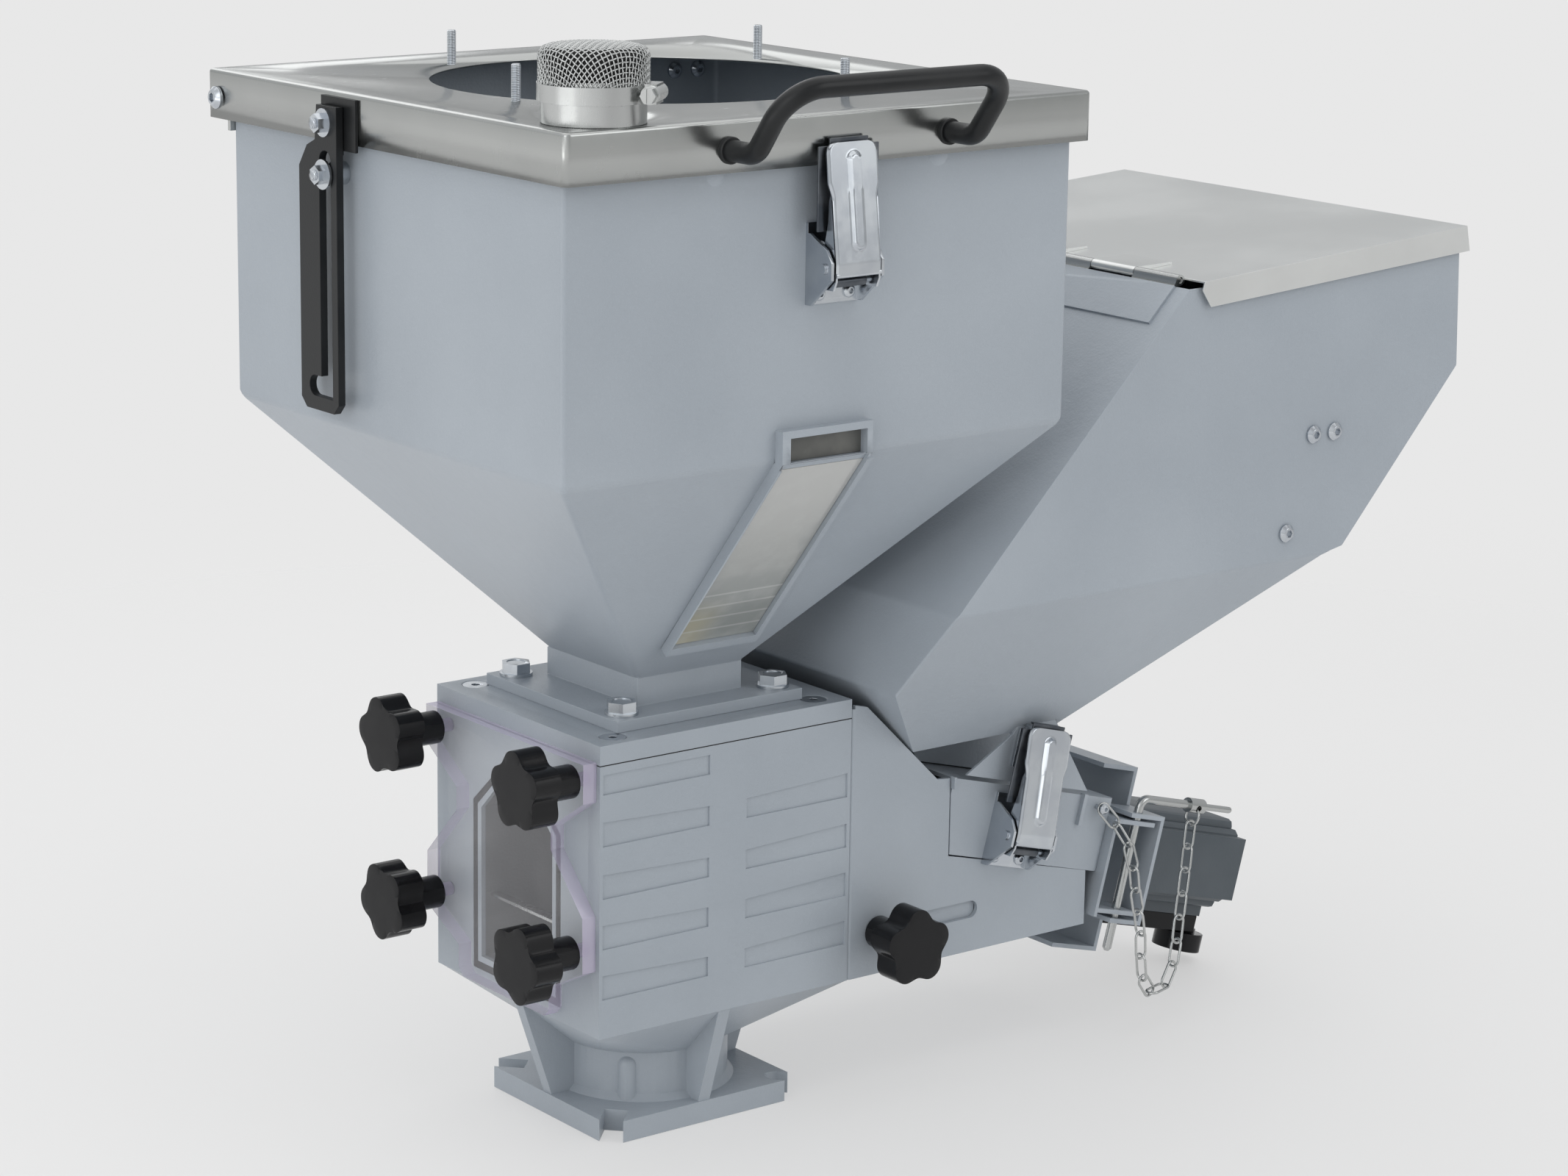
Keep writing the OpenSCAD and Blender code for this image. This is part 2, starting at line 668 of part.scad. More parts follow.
module stay_guide_bolt() {
    color(zinc) translate([0, stay_y, stay_lo]) {
        alongX(-208, -181, 3);
        washerX(-194.2, 7, 8.1);
        washerX(-202, 9, 1.6);
        nutX(-207, 5);
        nutX(-183.9, 3);
    }
}

// --------------------------------------------------------------------- latches
// Local frame: surface at y = 0, -Y outwards, z = 0 at the base's lower edge.
latch_p1 = [-17, 23];   // lever pivot, y and z
latch_p2 = [-14, 14];   // claw pivot, y and z

module latchBase() {
    c = latch_w / 2;
    color(zinc) difference() {
        union() {
            box(-c, c, -2, 0, 0, latch_h + 6);
            for (s = [-1, 1]) frontCut(s > 0 ? c - 2 : -c, 2) polygon([[0, 0], [-5, 0], [-24, 17], [-24, 27],
                [-19, 34], [-4, latch_h], [0, latch_h]]);
            translate([0, latch_p1[0], latch_p1[1]]) {
                alongX(-c - 1.4, c + 1.4, 2);
                alongX(-c - 1.6, -c, 3.2);
                alongX(c, c + 1.6, 3.2);
            }
            for (x = [-11, 11], z = [6, 33]) translate([x, -2, z]) {
                rotate([90, 0, 0]) domeScrew(4, 2, 0);
                alongY(-0.1, 7, 2);
            }
        }
    }
}

module latchLever() {
    color(zinc) {
        difference() {
            union() {
                for (s = [-1, 1]) frontCut(s > 0 ? 15 : -16.5, 1.5) polygon([[-22, 10], [-24, 16], [-24, 26],
                    [-15.6, 94], [-14.8, 94], [-18.6, 46], [-13, 32], [-11.5, 17], [-12, 10]]);
                frontCut(-16.5, 33) polygon([[-22, 10], [-24, 16], [-24, 26], [-15.6, 94], [-15.6, 95],
                    [-17.1, 95], [-25.6, 26], [-25.6, 15.6], [-23.4, 9]]);
                frontCut(-6, 12) polygon([[-24.6, 34], [-26.2, 36], [-19.2, 90], [-16.6, 92]]);
            }
            translate([0, latch_p1[0], latch_p1[1]]) alongX(-20, 20, 2.07);
        }
        translate([0, latch_p2[0], latch_p2[1]]) alongX(-16.5, 16.5, 1.8);
    }
}

module latchClaw(nose) {
    y1 = -12.4;
    color(zinc) difference() {
        union() {
            box(-12.5, 12.5, y1 - 1.5, y1, latch_p2[1], 48);
            box(-22, 22, y1 - 1.5, y1, 44, 93);
            box(-14, 14, y1 - 1.5, y1, 90, 97.2);
            box(-11.8, 11.8, y1 - 0.1, y1 + nose, 95.9, 97.2);
            translate([0, latch_p2[0], latch_p2[1]]) alongX(-12.5, 12.5, 3.2);
        }
        translate([0, latch_p2[0], latch_p2[1]]) alongX(-20, 20, 1.87);
        box(-7, 7, y1 - 2, y1 + 1, 52, 84);
    }
}

module atLidLatch() { translate([latch_x, -bin_y / 2, latch_z]) children(); }
module atFeederLatch() { inFeeder() translate([128.5, -block_hy, 17]) children(); }
module lid_latch_base() { atLidLatch() latchBase(); }
module lid_latch_lever() { atLidLatch() latchLever(); }
module lid_latch_claw() { atLidLatch() latchClaw(1.5); }
module feeder_latch_base() { atFeederLatch() latchBase(); }
module feeder_latch_lever() { atFeederLatch() latchLever(); }
module feeder_latch_claw() { atFeederLatch() latchClaw(4.4); }

module latch_keeper() {
    color(zinc) atFeederLatch() difference() {
        union() {
            box(-15, 15, -4, -2.2, 66, 91.6);
            box(-11, 11, -9.6, -3.4, 91.4, 94.9);
            for (x = [-9, 9]) translate([x, -4, 72]) { rotate([90, 0, 0]) domeScrew(3.6, 2, 0); }
        }
    }
}

// --------------------------------------------------------------------- console

module cheekShape() {
    polygon([[0, 80], [0, 261], [12.5, 258], [71.5, 201], [82, 200], [82, 148], [201.5, 117], [201.5, 80]]);
}

module feeder_console() {
    color(paint) translate([feed_x, 0, 0]) difference() {
        union() {
            for (s = [-1, 1]) {
                y = s < 0 ? -block_hy + cheek_t : block_hy;
                sideCut(y, cheek_t) translate([3, 0]) intersection() {
                    translate([-3, 0]) cheekShape();
                    translate([0, 0]) square([300, 300]);
                }
                box(0, 3, s < 0 ? -block_hy + 3 : 52, s < 0 ? -52 : block_hy - 3, 80, 256);
                translate([3, s * (block_hy - 3), 80]) cylinder(r = 3, h = 178);
            }
            box(2, 201.5, -block_hy + 1, block_hy - 1, 80, 80 + cheek_t);
        }
        for (s = [-1, 1]) translate([-feed_x, s * block_hy, 0]) {
            translate([slot_x0, 0, slot_z]) alongY(-6, 6, slot_w / 2);
            translate([slot_x0 + slot_len, 0, slot_z]) alongY(-6, 6, slot_w / 2);
            box(slot_x0, slot_x0 + slot_len, -6, 6, slot_z - slot_w / 2, slot_z + slot_w / 2);
        }
        for (y = [-66, 66], z = [95, 240]) translate([0, y, z]) alongX(-1, 5, 3.2);
    }
}

module console_screws() {
    color(zinc) for (y = [-66, 66], z = [95, 240]) translate([feed_x + 3, y, z]) {
        rotate([0, 90, 0]) domeScrew(5.4, 3, 0);
        alongX(-16, 0.1, 3);
    }
}

module clamp_slide() {
    color(steel) difference() {
        union() {
            box(105, 145, -block_hy + 3.3, -block_hy + 6.3, 92, 125);
            box(105, 145, -block_hy + 3.3, block_hy - 3.3, 89, 92);
            box(105, 145, block_hy - 6.3, block_hy - 3.3, 92, 125);
            translate([slot_x0, 0, slot_z]) alongY(-block_hy + 6, -block_hy + 14, 8);
        }
        translate([slot_x0, 0, slot_z]) alongY(-block_hy - 1, -block_hy + 16, star_stud + 0.3);
    }
}

module console_knob() {
    translate([slot_x0, -block_hy - 0.4, slot_z]) rotate([90, 0, 0]) starKnob(13);
}

// ---------------------------------------------------------------- feeder module

module feeder_housing() {
    u0 = 84;
    color(paint) difference() {
        union() {
            inFeeder() {
                difference() {
                    union() {
                        for (s = [-1, 1]) {
                            box(70, 209, s * (block_hy - 1.25) - 1.25, s * (block_hy - 1.25)
                                + 1.25, 20.4, house_w);
                            translate([209, s * (block_hy - 8), 20.4]) cylinder(r = 8, h = house_w - 20.4);
                        }
                        box(209, 217, -block_hy + 8, block_hy - 8, 20.4, house_w);
                        box(214.4, 217, -62, 62, -16, 22);
                        box(70, 212, -block_hy + 1, block_hy - 1, house_w - 2.5, house_w);
                    }
                    box(60, 209, -block_hy + 2.5, block_hy - 2.5, 10, house_w - 2.5);
                    box(200, 214.4, -block_hy + 8, block_hy - 8, 10, house_w - 2.5);
                    for (s = [-1, 1]) translate([209, s * (block_hy - 8), 10])
                        cylinder(r = 5.5, h = house_w - 12.5);
                }
                box(214, 251, -95, -64, 55, 58);
                box(214.4, 217, -95, -60, -9, 58);
                box(214.4, 252, -95, -64, -6, -3);
                // lips that catch the side hopper's collar
                for (u = [66, 184]) box(u, u + 3, -block_hy - 3.4, -block_hy + 1, 50, house_w + 1);
                }
        }
        // upright left edge beside the console
        box(100, feed_x + 83, -100, 100, 60, 300);
        inFeeder() {
            translate([0, 0, axis_w]) alongX(60, 230, tube_r + 0.2);
            box(86.8, 173.2, -31.2, 31.2, axis_w, 90);
            translate([200, 0, 63.5]) alongY(-block_hy - 4, -block_hy + 6, 1.65);
            translate([128.5, -block_hy, 17]) for (x = [-11, 11], z = [6, 33]) translate([x, 0, z])
                alongY(-1, 6, 2.05);
            translate([pin_u, pin_y, -50]) cylinder(r = pin_r + 0.3, h = 200);
            for (y = [-44, 44], w = [axis_w - 30, axis_w + 30]) translate([0, y, w]) alongX(210, 220, 2.6);
        }
    }
}

module feed_tube() {
    color(steel) inFeeder() difference() {
        union() {
            translate([0, 0, axis_w]) alongX(-44, 214, tube_r);
            box(87, 173, -31, 31, axis_w, house_w - 2.8);
            translate([0, 0, axis_w]) alongX(2, 8, 34);
        }
        translate([0, 0, axis_w]) alongX(-50, 205, tube_r - 3);
        translate([0, 0, axis_w]) alongX(200, 220, 12.3);
        box(89, 171, -29, 29, axis_w + 12, 90);
        box(89, 171, -21.9, 21.9, axis_w, 90);
        translate([0, 0, axis_w]) rotate([0, 0, 0]) difference() {
            alongX(-50, -38, tube_r + 1);
            alongX(-50, -38, 0.5);
        }
    }
}

module feed_bearing() {
    color([0.75, 0.6, 0.35]) inFeeder() translate([0, 0, axis_w]) difference() {
        union() { alongX(205.2, 217, 12); alongX(217.3, 220, 17); }
        alongX(200, 230, 8.07);
    }
}

module feed_screw() {
    n = 236 / screw_pitch;
    color(steel) inFeeder() translate([0, 0, axis_w]) {
        alongX(-36, 205, 7);
        alongX(204, 232, 8);
        translate([-34, 0, 0]) rotate([0, 90, 0]) linear_extrude(236, twist = -360 * n, slices = 170,
            segments = 8)
            polygon([[5, -1.6], [screw_r, -1.3], [screw_r, 1.3], [5, 1.6]]);
    }
}

module shaft_coupling() {
    color([0.7, 0.7, 0.72]) inFeeder() translate([0, 0, axis_w]) {
        difference() {
            union() { alongX(222, 236, 16); alongX(243, 256, 16); }
            alongX(220, 232.2, 8.02);
            translate([0, 0, 0]) alongX(244, 260, 6.03);
        }
        color([0.6, 0.1, 0.1]) alongX(236.05, 242.95, 15);
        color([0.7, 0.7, 0.72]) alongX(244.2, 275, 6);
    }
}

// ----------------------------------------------------------------- side hopper

// side outline, and for each corner the way in for one millimetre of sheet
side_out = [[302, 515], [119, 329], [103, 273], [148, 222], [270, 222], [433, 329], [449, 332], [549, 442],
    [546, 518]];
side_way = [[0.83, -0.58], [1.08, -0.32], [1.1, 0.24], [0.45, 1], [-0.3, 1], [-0.36, 1], [-0.5, 0.95],
    [-1.04, 0.38], [-1.04, 0.4]];
module sideOuter() { polygon(side_out); }
module sideInner() {
    polygon(concat([for (i = [0:8]) side_out[i] + side_way[i] * side_t], [[545, 540], [325, 540]]));
}
module sideTaper(in) {
    h = side_half - in;
    polygon([[-88 + in * 1.2, 222], [88 - in * 1.2, 222], [h, 329], [h, 560], [-h, 560], [-h, 329]]);
}

module side_hopper() {
    color(paint) {
        difference() {
            union() {
                intersection() {
                    sideCut(200, 400) sideOuter();
                    frontCut(0, 600) sideTaper(0);
                }
                // collar down to the feeder
                sideCut(40, 80) polygon([[176, 226], [268, 226], [268, 208], [inX(190), inZ(190)],
                    [inX(80), inZ(80)]]);
            }
            intersection() {
                sideCut(200, 400) sideInner();
                frontCut(0, 600) sideTaper(side_t);
            }
            sideCut(27, 54) polygon([[190, 230], [262, 230], [inX(168), inZ(168)], [inX(92), inZ(92)]]);
            for (y = [-1, 1], p = [[417, 410], [436, 410], [396, 347]])
                translate([p[0], y * side_half, p[1]]) alongY(-6, 6, 3.05);
            for (y = [-120, 0, 120]) translate([288, y, 501]) rotate([0, -45, 0]) alongX(-8, 6, 2);
        }
        for (s = [-1, 1]) sideCut(s < 0 ? -block_hy + 0.4 : block_hy + 1.8, 2.2)
            polygon([[inX(78, 73), inZ(78, 73)], [230, 222], [233, 226], [266, 226], [274, 210],
                [inX(187, 73), inZ(187, 73)]]);
    }
}
function inX(u, w = 71) = feed_x + u * cos(tilt) + w * sin(tilt);
function inZ(u, w = 71) = feed_z - u * sin(tilt) + w * cos(tilt);

module side_hopper_screws() {
    color(zinc) for (s = [-1, 1], p = [[417, 410], [436, 410], [396, 347]])
        translate([p[0], s * side_half, p[1]]) {
            if (s < 0) { rotate([90, 0, 0]) domeScrew(6, 3, 0); alongY(-0.1, 7, 3); }
            else { rotate([-90, 0, 0]) domeScrew(6, 3, 0); alongY(-7, 0.1, 3); }
            translate([0, -s * 2.1, 0]) rotate([s * 90, 0, 0]) difference() { hexagon(10, 4.6);
                cylinder(r = 3, h = 6); }
        }
}

knuckle = [-150, -110, -70, -30, 10, 50, 90, 130];

module side_hinge_leaf() {
    color(steel) {
        difference() {
            union() {
                translate([sh_x, 0, sh_z]) for (i = [0:2:6]) translate([0, knuckle[i], 0])
                    alongY(0.2, 39.8, 3.5);
                for (i = [0:2:6]) sideCut(knuckle[i] + 39.8, 39.6)
                    polygon([[301.98, 515.3], [300.91, 516.07], [304, 521.3], [306, 519], [305.2, 515.6]]);
                sideCut(169.8, 319.6) polygon([[301.98, 515.02], [280.95, 493.63], [279.88, 494.68],
                    [300.91, 516.07]]);
            }
            translate([sh_x, 0, sh_z]) alongY(-200, 200, 2.07);
        }
        translate([sh_x, 0, sh_z]) alongY(-149, 169, 2);
    }
}

module side_lid() {
    color(steel) difference() {
        sideCut(sidelid_half, 2 * sidelid_half) polygon([[310.4, 514], [312, 519.6], [548, 536], [551.5,
            519], [318, 503]]);
        sideCut(sidelid_half - 1.2, 2 * (sidelid_half - 1.2)) polygon([[300, 510], [300, 517.4], [312, 518.4],
            [546.9, 534.7], [550.2, 518], [330, 400], [300, 400]]);
    }
}

module side_lid_leaf() {
    color(steel) difference() {
        union() {
            translate([sh_x, 0, sh_z]) for (i = [1:2:7]) translate([0, knuckle[i], 0]) alongY(0.2, 39.8, 3.5);
            for (i = [1:2:7]) sideCut(knuckle[i] + 39.8, 39.6)
                polygon([[sh_x, sh_z + 1.9], [sh_x, sh_z + 3.4], [336, 522.9], [336, 521.35], [312, 519.65]]);
        }
        translate([sh_x, 0, sh_z]) alongY(-200, 200, 2.07);
    }
}

// ------------------------------------------------------------- motor and bracket

module motor_bracket() {
    color(paint) inFeeder() difference() {
        union() {
            box(256, 259, -60, 60, -39, 89);
            box(227, 257, -60, 60, 86, 89);
            box(217.6, 257, -60, 60, -39, -36);
            box(256, 259, -95, -58, -12, 63);
            box(228, 257, -95, -64, 60, 63);
            box(230, 257, -95, -64, -12, -9);
        }
        translate([0, 0, axis_w]) alongX(250, 270, 22);
        translate([pin_u, pin_y, -60]) cylinder(r = pin_r + 0.3, h = 200);
        for (y = [-30, 30], w = [axis_w - 27, axis_w + 27]) translate([0, y, w]) alongX(250, 270, 2.7);
    }
}

module motor_screws() {
    color(zinc) inFeeder() for (y = [-30, 30], w = [axis_w - 27, axis_w + 27]) translate([256, y, w]) {
        rotate([0, -90, 0]) domeScrew(4.6, 2.5, 0);
        alongX(-0.1, 14, 2.5);
    }
}

// Stepped housing profile: side pads in the middle, ribs at the corners
module motorShape() {
    w = motor_w / 2;
    h = motor_h / 2;
    q = [[w, h - 10], [w - 8.6, h - 10], [w - 8.6, h - 9], [w - 12, h - 6], [w - 16, h - 6], [w - 16,
        h - 4.5],
        [w - 17.3, h - 1.3], [w - 20.5, h]];
    polygon(concat(q, [for (i = [7:-1:0]) [-q[i][0], q[i][1]]], [for (i = [0:7]) -q[i]],
        [for (i = [7:-1:0]) [q[i][0], -q[i][1]]]));
}

module motor() {
    end = 259 + motor_len;
    color([0.3, 0.32, 0.35]) inFeeder() translate([0, 0, axis_w]) difference() {
        union() {
            frontCut(262, motor_len - 3) motorShape();
            box(259, 268, -36, 36, 3 - motor_h / 2, motor_h / 2 - 3);
            box(end - 1, end + 4, -22, 22, -20, 20);
            box(268, end, -18, 18, -8.4 - motor_h / 2, 2 - motor_h / 2);
            alongX(end - 1, end + 7, 14);
        }
        for (y = [-30, 30], w = [-27, 27]) translate([0, y, w]) alongX(254, 276, 2.55);
        alongX(254, 290, 8);
    }
}

module motor_terminal() {
    // connection box with a round screwed connector facing down
    color(black) inFeeder() translate([0, 0, axis_w - motor_h / 2 - 8.4]) difference() {
        union() {
            box(292, 392, -18, 18, -12, -0.02);
            translate([390, -6, -26]) cylinder(r = 17, h = 13);
            translate([390, -6, -18]) cylinder(r = 11, h = 8);
        }
        translate([390, -6, -28]) cylinder(r = 6, h = 14);
    }
}

// --------------------------------------------------------------- lock pin, chain

module lock_pin() {
    color(steel) inFeeder() translate([pin_u, pin_y, 0]) {
        translate([0, 0, -30]) cylinder(r = pin_r, h = 30 + 66.5);
        translate([0, 0, -32]) cylinder(r1 = 1.6, r2 = pin_r, h = 2);
        translate([6, 0, 66.5]) rotate([90, 0, 0]) rotate([0, 0, 90]) ringArc(6, pin_r, 90);
        translate([0, 0, pin_top]) alongX(6, 46, pin_r);
        translate([0, 0, pin_top]) difference() {
            alongX(44, 58, 5);
            rotate([90, 0, 0]) translate([51, -1.4, -10]) cylinder(r = 2.3, h = 20);
        }
        translate([0, 0, pin_top]) alongX(58, 84, 2.2);
        translate([84, 0, pin_top]) sphere(r = 2.2);
    }
}

ring_c = [pin_u + 51, pin_y, pin_top - 7.4];
module pin_ring() {
    color(steel) inFeeder() translate(ring_c) rotate([0, 90, 0]) rotate_extrude() translate([6, 0])
        circle(r = 0.9, $fn = 24);
}

// one link lying along X, flat in XY
module link() {
    s = link_pitch / 2 - 2.7;
    for (m = [0, 180]) rotate([0, 0, m]) {
        translate([s, 0, 0]) rotate([0, 0, -90]) rotate_extrude(angle = 180) translate([4.2, 0])
            circle(r = link_r, $fn = 20);
        translate([0, 4.2, 0]) alongX(-s, s, link_r);
    }
}

// turn of each link in the feeder's frame, degrees from +X towards +Z, and its step along Y
chain_turn = [-40, -52, -67, -67, -62, -65, -72, -68, -36, 19, 65, 85, 91, 91, 91, 94, 93];
chain_out = [-5, -6.5, -3.5, 0, 0, 0, 0, 0, 2, 3, 3, 3, 2.5, 2, 2, 1.5, 1.4];
chain_start = [199, -block_hy - 5.4, 64.6];
function chainStep(i) = [sqrt(pow(link_pitch, 2) - pow(chain_out[i], 2)) * cos(chain_turn[i]), chain_out[i],
    sqrt(pow(link_pitch, 2) - pow(chain_out[i], 2)) * sin(chain_turn[i])];
function chainAt(i) = i == 0 ? chain_start : chainAt(i - 1) + chainStep(i - 1);

module chain_screw() {
    color(zinc) inFeeder() translate([200, -block_hy, 63.5]) {
        alongY(-7, 5, 1.6);
        translate([0, -7, 0]) rotate([90, 0, 0]) domeScrew(3.6, 1.6, 0);
        translate([0, 4.2, 0]) rotate([90, 0, 0]) difference() { hexagon(5.5, 1.6); translate([0, 0, -1])
            cylinder(r = 1.62, h = 4); }
    }
}

module chain() {
    color(steel) inFeeder() for (i = [0:len(chain_turn) - 1]) {
        mid = (chainAt(i) + chainAt(i + 1)) / 2;
        translate(mid) rotate([0, -chain_turn[i], 0]) rotate([0, 0, asin(chain_out[i] / link_pitch)])
            rotate([i % 2 == 0 ? 90 : 0, 0, 0]) link();
    }
}

mixer_housing();
top_plate();
top_plate_screws();
chamber_guide();
cover_gasket();
clear_cover();
knob_back_high();
knob_front_high();
knob_back_low();
knob_front_low();
main_hopper();
hopper_bolts();
window_frame();
window_glass();
hinge_ears();
ear_screws();
lid_pivots();
hopper_lid();
lid_studs();
vent_spigot();
vent_cap();
vent_clamp();
lid_handle();
handle_screws();
stay_bracket();
stay_bolts();
lid_stay();
stay_guide_bolt();
lid_latch_base();
lid_latch_lever();
lid_latch_claw();
feeder_latch_base();
feeder_latch_lever();
feeder_latch_claw();
feeder_console();
console_screws();
clamp_slide();
console_knob();
feeder_housing();
feed_tube();
feed_bearing();
feed_screw();
shaft_coupling();
side_hopper();
side_hopper_screws();
latch_keeper();
side_hinge_leaf();
side_lid();
side_lid_leaf();
motor_bracket();
motor_screws();
motor();
motor_terminal();
lock_pin();
pin_ring();
chain_screw();
chain();
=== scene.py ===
import json
import math
import bmesh
import bpy
from mathutils import Matrix, Vector

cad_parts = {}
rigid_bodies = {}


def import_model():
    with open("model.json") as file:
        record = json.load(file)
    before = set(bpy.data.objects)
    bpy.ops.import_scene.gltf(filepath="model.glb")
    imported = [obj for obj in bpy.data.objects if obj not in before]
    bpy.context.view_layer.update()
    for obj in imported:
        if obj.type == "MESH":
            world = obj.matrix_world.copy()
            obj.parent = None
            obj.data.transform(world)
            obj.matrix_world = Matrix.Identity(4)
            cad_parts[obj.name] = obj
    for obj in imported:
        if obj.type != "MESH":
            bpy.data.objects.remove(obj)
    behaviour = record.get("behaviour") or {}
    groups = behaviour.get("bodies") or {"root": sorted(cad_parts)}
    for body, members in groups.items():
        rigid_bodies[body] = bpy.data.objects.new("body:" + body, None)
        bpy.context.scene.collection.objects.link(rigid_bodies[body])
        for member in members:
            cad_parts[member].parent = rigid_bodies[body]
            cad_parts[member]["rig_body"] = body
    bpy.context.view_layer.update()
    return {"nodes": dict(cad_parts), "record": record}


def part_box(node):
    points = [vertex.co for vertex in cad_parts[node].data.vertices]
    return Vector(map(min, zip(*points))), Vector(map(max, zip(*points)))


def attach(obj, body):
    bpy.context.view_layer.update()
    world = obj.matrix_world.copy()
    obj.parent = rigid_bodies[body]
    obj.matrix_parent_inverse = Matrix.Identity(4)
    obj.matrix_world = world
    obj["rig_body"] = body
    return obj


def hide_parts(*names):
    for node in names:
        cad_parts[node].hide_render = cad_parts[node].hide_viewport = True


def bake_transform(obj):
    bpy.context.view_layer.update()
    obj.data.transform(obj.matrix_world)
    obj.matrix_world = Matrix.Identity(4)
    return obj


# granule dosing and mixing unit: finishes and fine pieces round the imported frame
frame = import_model()
nodes = frame["nodes"]
slotOf = {part["node"]: part["material_slot"] for part in frame["record"]["subparts"]}
scene = bpy.context.scene
scene.view_settings.view_transform = "Standard"
mm = 0.001
print("frame loaded:", len(nodes), "nodes")

cameraPlan = {
    "place": (-1.44334843, -1.98073177, 0.92185062),
    "turn": (1.3415894, -0.0078047, -0.6310243),
    "lens": 92.69591,
    "shift": (0.0811959, -0.0181021),
}


def setCamera(plan):
    data = bpy.data.cameras.new("unitCamera")
    data.sensor_fit = "HORIZONTAL"
    data.sensor_width = 36
    data.lens = plan["lens"]
    data.shift_x, data.shift_y = plan["shift"]
    camera = bpy.data.objects.new("unitCamera", data)
    camera.location = plan["place"]
    camera.rotation_euler = plan["turn"]
    scene.collection.objects.link(camera)
    scene.camera = camera


setCamera(cameraPlan)


class Wire:
    # one socket of a finish; sums and products of wires add their Math nodes
    def __init__(self, finish, socket):
        self.finish = finish
        self.socket = socket

    def maths(self, operation, first, second):
        return self.finish.make("ShaderNodeMath", {"operation": operation}, {0: first, 1: second})

    def __add__(self, other):
        return self.maths("ADD", self, other)

    def __sub__(self, other):
        return self.maths("SUBTRACT", self, other)

    def __rsub__(self, other):
        return self.maths("SUBTRACT", other, self)

    def __mul__(self, other):
        return self.maths("MULTIPLY", self, other)

    __radd__ = __add__
    __rmul__ = __mul__


class Finish:
    # nodes of one material, or of the world
    def __init__(self, name, store=bpy.data.materials):
        self.material = store.new(name)
        self.material.use_nodes = True
        self.tree = self.material.node_tree
        self.tree.nodes.clear()

    def make(self, kind, settings=None, sockets=None, out=0):
        # any node: its settings come first, then the values or links of its sockets
        node = self.tree.nodes.new(kind)
        for key, value in (settings or {}).items():
            if key == "stops":
                elements = node.color_ramp.elements
                while len(elements) < len(value):
                    elements.new(1)
                for element, (place, colour) in zip(elements, value):
                    element.position = place
                    element.color = colour
            else:
                setattr(node, key, value)
        for key, value in (sockets or {}).items():
            if isinstance(value, Wire):
                self.tree.links.new(value.socket, node.inputs[key])
            else:
                node.inputs[key].default_value = value
        return Wire(self, node.outputs[out]) if node.outputs else None

    def place(self, stretch=(1, 1, 1), turn=(0, 0, 0)):
        spot = self.make("ShaderNodeTexCoord", out="Object")
        return self.make("ShaderNodeMapping", {}, {
            "Vector": spot, "Scale": stretch, "Rotation": turn})

    def noise(self, place, scale, detail=2, rough=0.5):
        return self.make("ShaderNodeTexNoise", {}, {
            "Vector": place, "Scale": scale, "Detail": detail, "Roughness": rough})

    def between(self, value, low, high):
        # 0 at low, 1 at high, smooth on the way
        return self.make("ShaderNodeMapRange", {"interpolation_type": "SMOOTHSTEP"},
                         {"Value": value, "From Min": low, "From Max": high})

    def blend(self, mask, first, second):
        first, second = [c if isinstance(c, Wire) else (*c, 1) for c in (first, second)]
        return self.make("ShaderNodeMix", {"data_type": "RGBA"}, {0: mask, 6: first, 7: second}, 2)

    def relief(self, height, strength, depth, under=None):
        sockets = {"Height": height, "Strength": strength, "Distance": depth}
        if under:
            sockets["Normal"] = under
        return self.make("ShaderNodeBump", {}, sockets)

    def facing(self, axis):
        # the surface normal's part along one axis
        normal = self.make("ShaderNodeTexCoord", out="Normal")
        return self.make("ShaderNodeSeparateXYZ", {}, {0: normal}, axis)

    def along(self, axis):
        spot = self.make("ShaderNodeTexCoord", out="Object")
        return self.make("ShaderNodeSeparateXYZ", {}, {0: spot}, axis)

    def larger(self, first, second):
        return self.make("ShaderNodeMath", {"operation": "MAXIMUM"}, {0: first, 1: second})

    def rays(self, *names):
        return [self.make("ShaderNodeLightPath", out="Is " + name + " Ray") for name in names]

    def done(self, sockets):
        shader = self.make("ShaderNodeBsdfPrincipled", {}, sockets)
        self.make("ShaderNodeOutputMaterial", {}, {"Surface": shader})
        return self.material


paintLook = {
    "tone": (0.352, 0.391, 0.434), "pale": (0.372, 0.412, 0.455), "dull": (0.332, 0.370, 0.412),
    # chamber is painted shade for the walls inside the mixing chamber
    "fleck": (0.55, 0.58, 0.62), "chamber": (0.15, 0.155, 0.155), "gloss": 0.28, "sheen": 0.5,
}
chamberWalls = {"half": 0.04, "front": -0.0935, "back": 0.0975, "floor": 0.09725, "roof": 0.2475}


